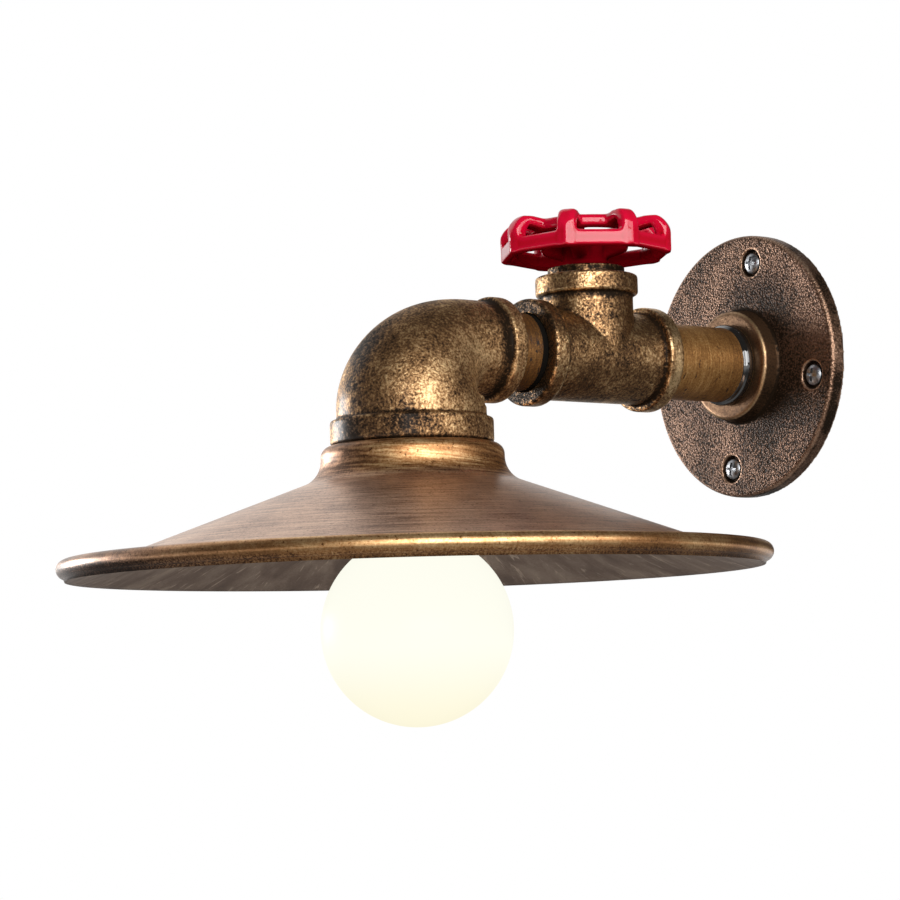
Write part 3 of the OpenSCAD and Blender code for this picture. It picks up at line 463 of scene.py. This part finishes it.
# Tones from bare base coat to fully rubbed metal, and how much rub each tone stands for
BLACK = (0.015, 0.009, 0.005)
GOLD = (0.78, 0.54, 0.28)
CAST_STOPS = (0.06, 0.28, 0.56, 0.96)
CAST_TONES = (BLACK, (0.10, 0.050, 0.021), (0.33, 0.185, 0.082), GOLD)
PLATE_TONES = (BLACK, (0.122, 0.068, 0.043), (0.34, 0.204, 0.134), (0.62, 0.44, 0.31))
HUB_TONES = (BLACK, (0.095, 0.050, 0.026), (0.30, 0.180, 0.100), GOLD)
PIPE_STOPS = (0.08, 0.30, 0.58, 0.95)
PIPE_TONES = ((0.008, 0.007, 0.006), (0.100, 0.042, 0.012), (0.36, 0.175, 0.054), (0.72, 0.45, 0.18))
SPUN_STOPS = (0.06, 0.34, 0.62, 0.98)
SPUN_TONES = ((0.030, 0.015, 0.009), (0.190, 0.108, 0.072), (0.54, 0.340, 0.240), (0.84, 0.62, 0.45))
GILT_TONES = ((0.026, 0.013, 0.006), (0.105, 0.044, 0.015), (0.44, 0.210, 0.078), (0.92, 0.64, 0.32))
INSIDE_STOPS = (0.3, 0.55, 0.9)
INSIDE_TONES = ((0.108, 0.072, 0.054), (0.285, 0.195, 0.148), (0.62, 0.47, 0.36))
ENAMEL_STOPS = (0.0, 0.5, 1.0)
ENAMEL_TONES = ((0.03, 0.001, 0.002), (0.50, 0.001, 0.012), (0.70, 0.003, 0.040))

# Tints of the highlights
CAST_TINT = (1.0, 0.92, 0.82)
SPUN_TINT = (1.0, 0.96, 0.92)

# A casting's rub where its noises are at their middle, its thin lacquer, and where a front sheen grows
CAST_LEVEL = 0.46
CAST_COAT = 0.03
SHEEN_Y = (-156.0, -166.0)


def antique(name, amount, mottle, grime=0.9, rough=0.32, zones=(), sheen=None):
    """Bronze rubbed over a black base coat: bright on edges, black in corners, grained like sand casting."""
    s = Shader(name)
    worn = s.worn()
    broad = s.noise(90.0, 4.0, 0.6)
    middle = s.noise(480.0, 4.0, 0.6)
    sand = s.noise(1350.0, 2.0, 0.6)
    speck = s.noise(900.0, 3.0, 0.6)
    noises = ((broad, mottle), (middle, 0.7 * mottle), (sand, 1.5), (speck, 0.5))
    rub = amount + CAST_LEVEL - sum(share for _, share in noises) / 2
    for noise, share in noises:
        rub = s.plus(rub, noise, share)
    edge = s.ramp(worn, 0.15, 0.55, 0.0, 0.5)
    rub = s.plus(rub, edge, s.ramp(middle, 0.38, 0.60))
    # Zones add darker and lighter bands, some of them painted light and shade
    for axis, start, end, darker in zones:
        rub = s.plus(rub, s.zone(s.axis(axis), start, end, 0.0, -darker))
    corner = s.ramp(worn, -0.55, -0.15, -grime, 0.0)
    rub = s.plus(rub, corner, s.ramp(speck, 0.35, 0.6, 1.0, 0.5))
    s.set(
        Base_Color=s.colours(rub, CAST_STOPS, CAST_TONES),
        Metallic=s.ramp(rub, 0.05, 0.4, 0.1, 0.95),
        Specular_IOR_Level=s.ramp(rub, 0.0, 0.5, 0.02, 0.45),
        Roughness=s.ramp(rub, 0.1, 0.9, rough + 0.08, rough),
        Normal=s.bump(s.plus(sand, middle, 0.6), 0.17),
    )
    coat = CAST_COAT
    if sheen:
        coat = s.zone(s.axis("Y"), *SHEEN_Y, CAST_COAT, sheen)
    s.lacquer(coat, 0.25, CAST_TINT)
    return s.mat


# Where the flange's finish changes, in millimetres: across the hub's edge, foot and mouth, and at the rim
HUB_EDGE = (19.4, 20.4)
HUB_FOOT_Y = (-5.0, -4.0)
HUB_MOUTH_Y = (-11.0, -10.4)
# Where a painted shadow lies beside the hub, as distances from its axis
HUB_SHADOW = (21.0, 38.0)
FLANGE_RIM = (44.6, 45.0)


def pebbled():
    """The flange: brown bronze over a pebbled casting skin, smoother on the hub and darker round its side."""
    s = Shader("flange_finish")
    worn = s.worn()
    x, along, z = s.axis("X"), s.axis("Y"), s.axis("Z")
    away = s.distance(x, z)
    broad = s.noise(60.0, 4.0, 0.6)
    sand = s.noise(1500.0, 2.0, 0.6)
    pebble = s.cells(1450.0)
    hub = s.times(s.zone(away, *HUB_EDGE, 1.0, 0.0), s.zone(along, *HUB_FOOT_Y, 1.0, 0.0))
    hub_side = s.math("SUBTRACT", hub, s.zone(along, *HUB_MOUTH_Y, 1.0, 0.0))
    rim = s.zone(away, *FLANGE_RIM)
    shadow = s.times(s.zone(away, *HUB_SHADOW, -0.17, 0.0), s.pick(hub, 1.0, 0.0))
    rub = s.plus(s.pick(hub, 0.02, -0.03), broad, 0.4)
    rub = s.plus(rub, sand, 0.4)
    rub = s.plus(rub, pebble, s.pick(hub, -0.40, -0.05))
    rub = s.plus(rub, rim, s.ramp(broad, 0.36, 0.62, -0.16, 0.20))
    # Painted light on the upper right of the plate and painted shade on its lower right
    rub = s.plus(rub, s.zone(x, 0.0, 42.0), s.zone(z, -16.0, 2.0, -0.06, 0.06))
    rub = s.plus(rub, shadow, s.zone(x, -6.0, 16.0))
    rub = s.plus(rub, hub_side, -0.20)
    rub = s.plus(rub, s.ramp(worn, 0.15, 0.45, 0.0, 0.55))
    rub = s.plus(rub, s.ramp(worn, -0.5, -0.15, -0.3, 0.0))
    plate_tone = s.colours(rub, CAST_STOPS, PLATE_TONES)
    hub_tone = s.colours(rub, CAST_STOPS, HUB_TONES)
    height = s.plus(s.times(pebble, -1.0), sand, 0.4)
    s.set(
        Base_Color=s.mix(hub, plate_tone, hub_tone),
        Metallic=s.ramp(rub, 0.05, 0.40, 0.2, 0.9),
        Specular_IOR_Level=0.04,
        Roughness=0.36,
        Normal=s.bump(s.times(height, s.pick(hub, 1.0, 0.10)), 0.18),
    )
    return s.mat


# The soft edge of a pipe's black band, and how far it wanders
BAND_EDGE = 0.4
BAND_WANDER = 0.8


def pipe_finish(name, band, amount, gloss):
    """Golden brown pipe with turned lines, dark flecks and a black band between two distances on the arm."""
    s = Shader(name)
    near, far = band
    along = s.axis("Y")
    lines = s.noise(1.0, 3.0, 0.6, at=s.stretched((55.0, 1300.0, 55.0)))
    flecks = s.noise(1.0, 4.0, 0.65, at=s.stretched((210.0, 480.0, 210.0)))
    broad = s.noise(110.0, 4.0, 0.6)
    fine = s.noise(1700.0, 2.0, 0.6)
    ragged = s.plus(along, broad, BAND_WANDER * MM)
    before_far = s.zone(ragged, -far, -far + BAND_EDGE)
    past_near = s.zone(ragged, -near - BAND_EDGE, -near, 1.0, 0.0)
    black = s.times(before_far, past_near)
    rub = s.plus(amount - 0.30, broad, 0.5)
    rub = s.plus(rub, lines, 0.55)
    rub = s.plus(rub, fine, 0.6)
    rub = s.plus(rub, s.ramp(flecks, 0.30, 0.38, -0.45, 0.0))
    rub = s.plus(rub, s.zone(along, -30.0, -15.0, 0.0, -0.14))
    rub = s.plus(rub, black, -1.2)
    height = s.times(s.plus(lines, fine), s.pick(black, 1.0, 0.05))
    s.set(
        Base_Color=s.colours(rub, PIPE_STOPS, PIPE_TONES),
        Metallic=s.ramp(rub, 0.10, 0.5, 0.0, 0.7),
        Specular_IOR_Level=s.pick(black, 0.3, gloss),
        Roughness=s.pick(black, 0.40, 0.50 - 0.42 * gloss),
        Normal=s.bump(height, 0.10),
    )
    if gloss:
        s.set(Coat_Weight=s.times(black, gloss))
    return s.mat


# Where the shade's finish changes, in millimetres: the neck's foot, the rim, and a line of painted shade below its
# roll
NECK_FOOT_Z = (-45.0, -40.0)
SHADE_RIM = (104.0, 107.5)
LINE_TOP, LINE_END, LINE_TILT = -0.9, -2.3, -2.2


def about_head(s):
    """A point's distance from the head's axis, and the cosine and sine of its turn about that axis."""
    x = s.axis("X")
    y = s.plus(HEAD * MM, s.axis("Y"))
    turn = s.math("ARCTAN2", y, x)
    return s.distance(x, y), s.math("COSINE", turn), s.math("SINE", turn)


def shade_outside():
    """Spun sheet: brown bronze with fine rings and gilding on neck and rim, painted light and shade around them,
    and a line of painted shade under the roll.
    """
    s = Shader("shade_outside")
    radius, cosine, sine = about_head(s)
    z = s.axis("Z")
    turned = s.join(s.times(radius, 1500.0), s.times(cosine, 3.0), s.plus(s.times(sine, 3.0), z, 900.0))
    rings = s.noise(1.0, 4.0, 0.65, at=turned)
    broad = s.noise(45.0, 5.0, 0.6)
    fine = s.noise(1400.0, 3.0, 0.7)
    grit = s.noise(1700.0, 3.0, 0.65)
    speck = s.noise(900.0, 3.0, 0.65)
    neck = s.zone(z, *NECK_FOOT_Z)
    edges = s.largest(s.zone(radius, *SHADE_RIM), neck)
    # Gilding on the neck and rim, kept mostly to their +X side as a painted highlight
    gilt_and_highlight = s.times(edges, s.ramp(cosine, -0.35, 0.65, 0.10, 1.0))
    # A line of painted shade under the roll, reaching higher and darker towards -X
    roll_z = ROLL_Z + OUTLET_Z
    tilted = s.plus(z, s.ramp(cosine, -0.5, 0.5, LINE_TILT * MM, 0.0))
    line = s.zone(tilted, roll_z + LINE_TOP, roll_z + LINE_END)
    line = s.times(line, s.zone(radius, ROLL_X - 1.0, ROLL_X))
    line = s.times(line, s.ramp(cosine, -0.2, 0.7, 1.0, 0.45))
    ring_share = s.plus(s.pick(edges, 1.3, 0.6), neck, 0.7)
    rub = s.plus(-0.09, broad, 0.8)
    rub = s.plus(rub, s.math("SUBTRACT", rings, 0.5), ring_share)
    rub = s.plus(rub, fine, 0.6)
    rub = s.plus(rub, s.ramp(speck, 0.31, 0.39, -0.30, 0.0))
    # Painted light and shade on the neck and rim: darker towards -X, lighter towards +X
    rub = s.plus(rub, edges, s.ramp(cosine, 0.0, 0.7, -0.16, 0.12))
    rub = s.plus(rub, neck, -0.08)
    # Painted shade on the neck and rim towards the wall
    rub = s.plus(rub, edges, s.ramp(sine, -0.45, 0.30, 0.0, -0.10))
    rub = s.plus(rub, line, s.ramp(grit, 0.38, 0.62, -0.60, -0.05))
    spun_tone = s.colours(rub, SPUN_STOPS, SPUN_TONES)
    gilt_tone = s.colours(rub, SPUN_STOPS, GILT_TONES)
    s.set(
        Base_Color=s.mix(gilt_and_highlight, spun_tone, gilt_tone),
        Metallic=s.ramp(rub, 0.05, 0.4, 0.2, 0.9),
        Specular_IOR_Level=s.ramp(rub, 0.1, 0.8, 0.15, 0.45),
        Roughness=s.plus(s.ramp(rings, 0.2, 0.8, 0.28, 0.40), neck, 0.10),
        Normal=s.bump(s.plus(fine, rings), 0.03, 0.6),
    )
    s.lacquer(s.ramp(rub, 0.0, 0.4, 0.02, 0.15), 0.22, SPUN_TINT)
    return s.mat


def shade_inside():
    """The shade's inner side: duller and darker, with smears and scratches."""
    s = Shader("shade_inside")
    radius, cosine, sine = about_head(s)

    def swept(around, out):
        return s.join(s.times(cosine, around), s.times(sine, around), s.times(radius, out))

    smear = s.noise(1.0, 3.0, 0.55, at=swept(13.0, 45.0), distortion=0.6)
    scratch = s.ramp(s.noise(1.0, 3.0, 0.6, at=swept(42.0, 70.0), distortion=1.0), 0.58, 0.70)
    broad = s.noise(45.0, 5.0, 0.6)
    fine = s.noise(1400.0, 3.0, 0.7)
    rub = s.plus(-0.04, broad, 0.4)
    rub = s.plus(rub, smear, 0.6)
    rub = s.plus(rub, scratch, 0.34)
    rub = s.plus(rub, fine, 0.24)
    s.set(
        Base_Color=s.colours(rub, INSIDE_STOPS, INSIDE_TONES),
        Metallic=0.1,
        Specular_IOR_Level=0.25,
        Roughness=0.5,
        Normal=s.bump(fine, 0.05, 0.4),
    )
    return s.mat


# Where painted shade darkens the handwheel, in millimetres: inside its rim and on faces turned inward
INNER_R = (20.5, 23.0)
INNER_Z = (36.0, 40.0)
INWARD_Z = (36.0, 38.0)


def enamel():
    """Thick gloss red with a little orange peel; painted shade darkens its corners and the faces under the wheel,
    which are also dull.
    """
    s = Shader("red_enamel")
    broad = s.noise(70.0, 3.0, 0.5)
    peel = s.noise(420.0, 2.0, 0.5)
    x, y, z = s.axis("X"), s.plus(TEE_AXIS * MM, s.axis("Y")), s.axis("Z")
    away = s.distance(x, y)
    normal = s.split(s.node("ShaderNodeNewGeometry").outputs["Normal"])
    facing = s.math("DIVIDE", s.plus(s.times(normal["Y"], y), normal["X"], x), away)
    inner = s.times(s.zone(away, *INNER_R, 1.0, 0.0), s.zone(z, *INNER_Z, 1.0, 0.0))
    inward = s.times(s.ramp(facing, -0.5, -0.1, 1.0, 0.0), s.zone(z, *INWARD_Z, 1.0, 0.0))
    downward = s.ramp(normal["Z"], -0.75, -0.25, 1.0, 0.0)
    # Painted shade under the wheel: inside its rim, on faces turned inward and on faces turned down
    under = s.largest(s.largest(inner, inward), downward)
    # Painted shade in the corners, from how far each point lies in a corner
    paint_and_shade = s.plus(s.times(broad, 0.3), s.ramp(s.worn(), -0.3, 0.2), 0.7)
    paint_and_shade = s.times(paint_and_shade, s.pick(under, 1.0, 0.30))
    s.set(
        Base_Color=s.colours(paint_and_shade, ENAMEL_STOPS, ENAMEL_TONES),
        Roughness=s.pick(under, s.ramp(broad, 0.3, 0.7, 0.06, 0.13), 0.5),
        Specular_IOR_Level=s.pick(under, 0.54, 0.0),
        Normal=s.bump(peel, 0.12, 0.3),
    )
    return s.mat


def opal():
    """Lit opal glass: an even warm white, a little warmer towards the end of the globe."""
    s = Shader("lit_opal_glass")
    rise = s.zone(s.axis("Z"), GLOBE_Z - GLOBE_R, GLOBE_Z - 2.0)
    cloud = s.noise(60.0, 2.0, 0.5)
    s.set(
        Base_Color=(0.03, 0.03, 0.025, 1),
        Emission_Color=s.mix(s.plus(rise, cloud, 0.06), (0.985, 0.94, 0.74), (0.99, 0.99, 0.90)),
        Emission_Strength=1.01,
        Specular_IOR_Level=0.0,
        Roughness=0.4,
        Coat_Weight=0.16,
        Coat_Roughness=0.35,
        Coat_Tint=(1.0, 0.98, 0.86, 1),
    )
    return s.mat


def plain(name, dark, light, metallic, rough, scale):
    """A small piece's material: two close tones over a grain, with roughness and bump from it."""
    s = Shader(name)
    grain = s.noise(scale, 4.0, 0.6)
    s.set(
        Base_Color=s.mix(s.ramp(grain, 0.3, 0.7), dark, light),
        Metallic=metallic,
        Roughness=s.ramp(grain, 0.3, 0.7, rough * 0.8, rough * 1.25),
        Normal=s.bump(grain, 0.05, 0.4),
    )
    return s.mat


def dress(obj, body, node, *mats):
    """Gives a piece its materials and body, and puts it in the place of a CAD node."""
    for mat in mats:
        obj.data.materials.append(mat)
    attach(obj, body)
    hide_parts(node)
    return obj


# Castings

# Zones of a finish and of painted light and shade: axis, start and end in millimetres, and how much darker it is
# from there on
TEE_ZONES = (
    # Branch: lighter below its collar, a dark band of black paint and painted shadow under it, and the collar
    ("Z", 10.5, 14.0, -0.09), ("Z", 16.8, 18.8, 0.42), ("Z", 19.6, 20.1, -0.36),
    # Far end: a dark mouth, and a dark groove behind the collar
    ("Y", -98.2, -99.0, 0.32), ("Y", -91.4, -92.2, 0.24), ("Y", -93.2, -94.0, -0.24),
    # Wall end: a dark groove, and a lighter collar
    ("Y", -53.4, -52.6, 0.32), ("Y", -52.0, -51.2, -0.32), ("Y", -51.4, -49.0, -0.34),
)
ELBOW_ZONES = (
    # Outlet: a darker collar, and a dark seam of painted shade where it meets the lamp shade
    ("Z", -22.5, -24.0, 0.20), ("Z", -30.4, -31.3, 0.5),
    # Inlet: a dark groove behind the collar
    ("Y", -114.8, -115.6, 0.60), ("Y", -116.6, -121.0, -0.60),
    # Bend: painted shade on its front and top, a painted highlight towards +X and a painted reflection towards -X
    ("Y", -152.0, -161.0, 0.20), ("Z", -16.0, 4.0, 0.12), ("X", 0.0, 14.0, -0.12), ("X", -2.0, -9.0, -0.24),
)
dress(casting("wall_flange", voxel=0.45, rounds=4), "arm", "wall_flange", pebbled())
dress(casting("tee", voxel=0.40, rounds=5), "arm", "tee",
      antique("tee_finish", -0.03, mottle=1.3, grime=0.5, zones=TEE_ZONES))
dress(casting("bonnet_plug", voxel=0.35, rounds=4), "arm", "bonnet_plug",
      antique("plug_finish", -0.44, mottle=1.8))
dress(casting("reducing_elbow", voxel=0.45, rounds=6, spread=8, shape=round_bend), "head", "reducing_elbow",
      antique("elbow_finish", 0.03, mottle=1.2, rough=0.48, zones=ELBOW_ZONES, sheen=0.35))
dress(casting("handwheel", voxel=0.40, rounds=40, shape=round_ribs, swell=0.5, settle=8),
      "wheel", "handwheel", enamel())


# Pipe nipples

def nipple(name, node, bead=None):
    """A pipe with chamfered ends; bead gives the distances between which a ring of sealing stands proud."""
    end, start = (-y for y in span(node, Y))
    length = end - start - 2 * CHAMFER
    body = [(PIPE_R, start + CHAMFER + length * i / PIPE_STEPS) for i in range(1, PIPE_STEPS)]
    if bead:
        middle, half = (bead[0] + bead[1]) / 2, (bead[1] - bead[0]) / 2
        body = [(r + BEAD_H * math.sqrt(max(0.0, 1 - ((h - middle) / half) ** 2)), h) for r, h in body]
    return lathe(name, [
        (PIPE_IN_R, start), (PIPE_R - CHAMFER, start), (PIPE_R, start + CHAMFER), *body,
        (PIPE_R, end - CHAMFER), (PIPE_R - CHAMFER, end), (PIPE_IN_R, end),
    ], on_arm, PIPE_SEGMENTS)


dress(nipple("wall_pipe", "wall_nipple", bead=(11.4, 15.4)), "arm", "wall_nipple",
      pipe_finish("wall_pipe_finish", band=(11.0, 15.4), amount=0.06, gloss=1.0))
dress(nipple("elbow_pipe", "elbow_nipple"), "arm", "elbow_nipple",
      pipe_finish("elbow_pipe_finish", band=(98.0, 100.8), amount=-0.20, gloss=0.0))


# Shade

def skin(depth):
    """One side of the sheet from its hole to the start of the cone, a depth below the outer side."""
    top_r = NECK_R - SHOULDER
    return [
        (HOLE_R, -depth), ((HOLE_R + top_r) / 2, -depth),
        *arc(top_r, -SHOULDER, SHOULDER - depth, 90, 0, SHOULDER_STEPS),
        *arc(FILLET_X, FILLET_Z, FILLET + depth, 180, 270 - SLOPE, FILLET_STEPS),
    ]


foot = -90 - SLOPE
roll = arc(ROLL_X, ROLL_Z, ROLL_R, foot + 360 - ROLL_HALF, foot + ROLL_HALF, ROLL_STEPS)
top_skin, low_skin = skin(0), skin(SHEET)
edge = (roll[-1][0] - SHEET * SLOPE_SIN, roll[-1][1] - SHEET * SLOPE_COS)
outside = top_skin + between(top_skin[-1], roll[0], CONE_STEPS) + roll
inside = [edge] + between(edge, low_skin[-1], CONE_STEPS) + low_skin[::-1]
outline = [(r, h + OUTLET_Z) for r, h in outside + inside]
shade = dress(lathe("spun_shade", outline, on_head, SHADE_SEGMENTS), "head", "shade",
              shade_outside(), shade_inside())
first_inside, past_inside = len(outside), len(outside) + len(inside) - 1
for index, face in enumerate(shade.data.polygons):
    face.material_index = int(first_inside <= index // SHADE_SEGMENTS < past_inside)


# Lamp

def glass(depth):
    """One side of the globe from its mouth to its end, a depth below the outer side."""
    ball = arc(0, GLOBE_Z, GLOBE_R - depth, GLASS_TURN, -90, BALL_STEPS)
    rim_z = GLASS_RIM_Z - depth
    return [
        (MOUTH_R - depth, GLASS_RIM_Z + MOUTH_H), (MOUTH_R - depth, rim_z), (GLASS_NECK_R - depth, rim_z),
        *arc(GLASS_X, GLASS_Z, GLASS_FILLET + depth, 180, 180 + GLASS_TURN, GLASS_STEPS),
        *ball[1:-1], (0, ball[-1][1]),
    ]


dress(lathe("opal_globe", glass(0) + glass(GLASS_T)[::-1], on_head, GLOBE_SEGMENTS),
      "lamp", "lamp_globe", opal())

# Other pieces keep their CAD shape and take a material by their slot

SLOT_MATERIALS = {
    "zinc": plain("zinc_plate", (0.26, 0.27, 0.28), (0.46, 0.47, 0.49), 1.0, 0.34, 900.0),
    "brass": plain("brass_bare", (0.55, 0.38, 0.13), (0.78, 0.58, 0.25), 1.0, 0.26, 700.0),
    "ceramic": plain("glazed_ceramic", (0.80, 0.79, 0.75), (0.88, 0.87, 0.84), 0.0, 0.16, 260.0),
    "clear_glass": plain("stem_glass", (0.72, 0.78, 0.78), (0.80, 0.86, 0.86), 0.0, 0.08, 200.0),
    "cap_metal": plain("cap_aluminium", (0.58, 0.58, 0.58), (0.76, 0.76, 0.76), 1.0, 0.30, 1200.0),
    "black_plastic": plain("black_moulding", (0.012, 0.012, 0.013), (0.030, 0.030, 0.032), 0.0, 0.42, 800.0),
    "brown_plastic": plain("brown_moulding", (0.10, 0.045, 0.020), (0.19, 0.09, 0.042), 0.0, 0.36, 600.0),
    "white_plastic": plain("white_moulding", (0.74, 0.74, 0.72), (0.84, 0.84, 0.82), 0.0, 0.40, 700.0),
    "filament_wire": plain("filament_wire", (0.30, 0.26, 0.22), (0.48, 0.43, 0.37), 1.0, 0.34, 2000.0),
    "grey_sheath": plain("grey_sheath", (0.09, 0.09, 0.095), (0.15, 0.15, 0.155), 0.0, 0.55, 900.0),
    "brown_core": plain("brown_core", (0.11, 0.036, 0.012), (0.18, 0.065, 0.024), 0.0, 0.45, 900.0),
    "black_core": plain("black_core", (0.010, 0.010, 0.010), (0.024, 0.024, 0.025), 0.0, 0.45, 900.0),
    "blue_core": plain("blue_core", (0.010, 0.040, 0.20), (0.022, 0.075, 0.32), 0.0, 0.45, 900.0),
}
for part in frame["record"]["subparts"]:
    mat = SLOT_MATERIALS.get(part["material_slot"])
    if mat:
        data = NODES[part["node"]].data
        data.materials.clear()
        data.materials.append(mat)

# Floor, light and camera, in metres

AIM = (0, -0.1, -0.02)
FLOOR_Z = -1.05
FLOOR_SIZE = 60.0

# Where the floor fades to white, as the camera sees it and as glossy surfaces show it
SEEN_FADE = (0.8, 2.6)
MIRROR_FADE = (2.0, 6.5)

# The room's light on dull surfaces, and what glossy ones show of it beside the white sweep
ROOM_LEVEL = 0.18
DIM_LEVEL = 0.05

# The white sweep stands behind the wall light and to its left: the direction of its middle, and the cosines
# between which its edge fades
SWEEP_SIDE = (-0.924, 0.073, 0.375)
SWEEP_EDGE = (0.62, 0.84)

# The photograph's view: place, angles in degrees, lens and sensor in millimetres
CAMERA_PLACE = (0.687379, -0.629302, -0.110150)
CAMERA_AZIMUTH = -36.0022
CAMERA_ELEVATION = -5.2135
CAMERA_ROLL = -1.61
LENS = 108.24
SENSOR = 36.0


def floor_finish():
    """A pale floor that takes the shadow and fades to white away from the object."""
    s = Shader("studio_floor")
    seen, mirrored = s.ray_kinds()
    away = s.distance(s.axis("X"), s.plus(-AIM[Y], s.axis("Y")))
    grain = s.noise(3.0)
    dim = s.mix(grain, (0.50, 0.50, 0.50), (0.54, 0.54, 0.54))
    pale = s.mix(grain, (0.80, 0.80, 0.80), (0.84, 0.84, 0.84))
    s.set(Base_Color=s.mix(seen, dim, pale), Roughness=0.9)
    white = s.node("ShaderNodeEmission")
    white.inputs["Strength"].default_value = 1.0
    fade = s.largest(s.times(seen, s.ramp(away, *SEEN_FADE)), s.times(mirrored, s.ramp(away, *MIRROR_FADE)))
    blend = s.filled(s.node("ShaderNodeMixShader"), fade, s.bsdf.outputs[0], white.outputs[0])
    s.put(s.out.inputs["Surface"], blend.outputs[0])
    return s.mat


bpy.ops.mesh.primitive_plane_add(size=FLOOR_SIZE, location=(0, 0, FLOOR_Z))
floor = bpy.context.object
floor.name = "studio_floor"
floor.data.materials.append(floor_finish())

world = bpy.data.worlds.new("studio")
bpy.context.scene.world = world
world.use_nodes = True
sky = Nodes(world.node_tree)
seen, mirrored = sky.ray_kinds()
direction = sky.node("ShaderNodeTexCoord").outputs["Generated"]
towards = sky.filled(sky.node("ShaderNodeVectorMath", operation="DOT_PRODUCT"), direction, SWEEP_SIDE)
sweep = sky.ramp(towards.outputs["Value"], *SWEEP_EDGE, DIM_LEVEL, 1.0, kind="LINEAR")
background = world.node_tree.nodes["Background"]
background.inputs["Color"].default_value = (1, 1, 1, 1)
sky.put(background.inputs["Strength"], sky.pick(seen, sky.pick(mirrored, ROOM_LEVEL, sweep), 1.0))


def soft_light(name, place, size, watts):
    data = bpy.data.lights.new(name, "AREA")
    data.shape = "RECTANGLE"
    data.size, data.size_y = size
    data.energy = watts
    lamp = new_object(name, data)
    lamp.location = place
    lamp.rotation_euler = (Vector(AIM) - Vector(place)).to_track_quat("-Z", "Y").to_euler()


soft_light("key", place=(1.14, -0.66, 0.30), size=(0.95, 0.85), watts=15)
soft_light("right", place=(1.12, 0.14, 0.34), size=(0.7, 0.6), watts=4.6)
soft_light("side", place=(-1.13, -0.50, 0.05), size=(0.6, 0.36), watts=9)

camera = bpy.data.cameras.new("camera")
camera.sensor_width = SENSOR
camera.lens = LENS
camera.clip_start = 0.01
shot = new_object("camera", camera)
shot.matrix_world = (
    Matrix.Translation(CAMERA_PLACE)
    @ Matrix.Rotation(math.radians(90 + CAMERA_AZIMUTH), 4, "Z")
    @ Matrix.Rotation(math.radians(90 - CAMERA_ELEVATION), 4, "X")
    @ Matrix.Rotation(math.radians(CAMERA_ROLL), 4, "Z")
)
bpy.context.scene.camera = shot
bpy.context.scene.view_settings.view_transform = "Standard"
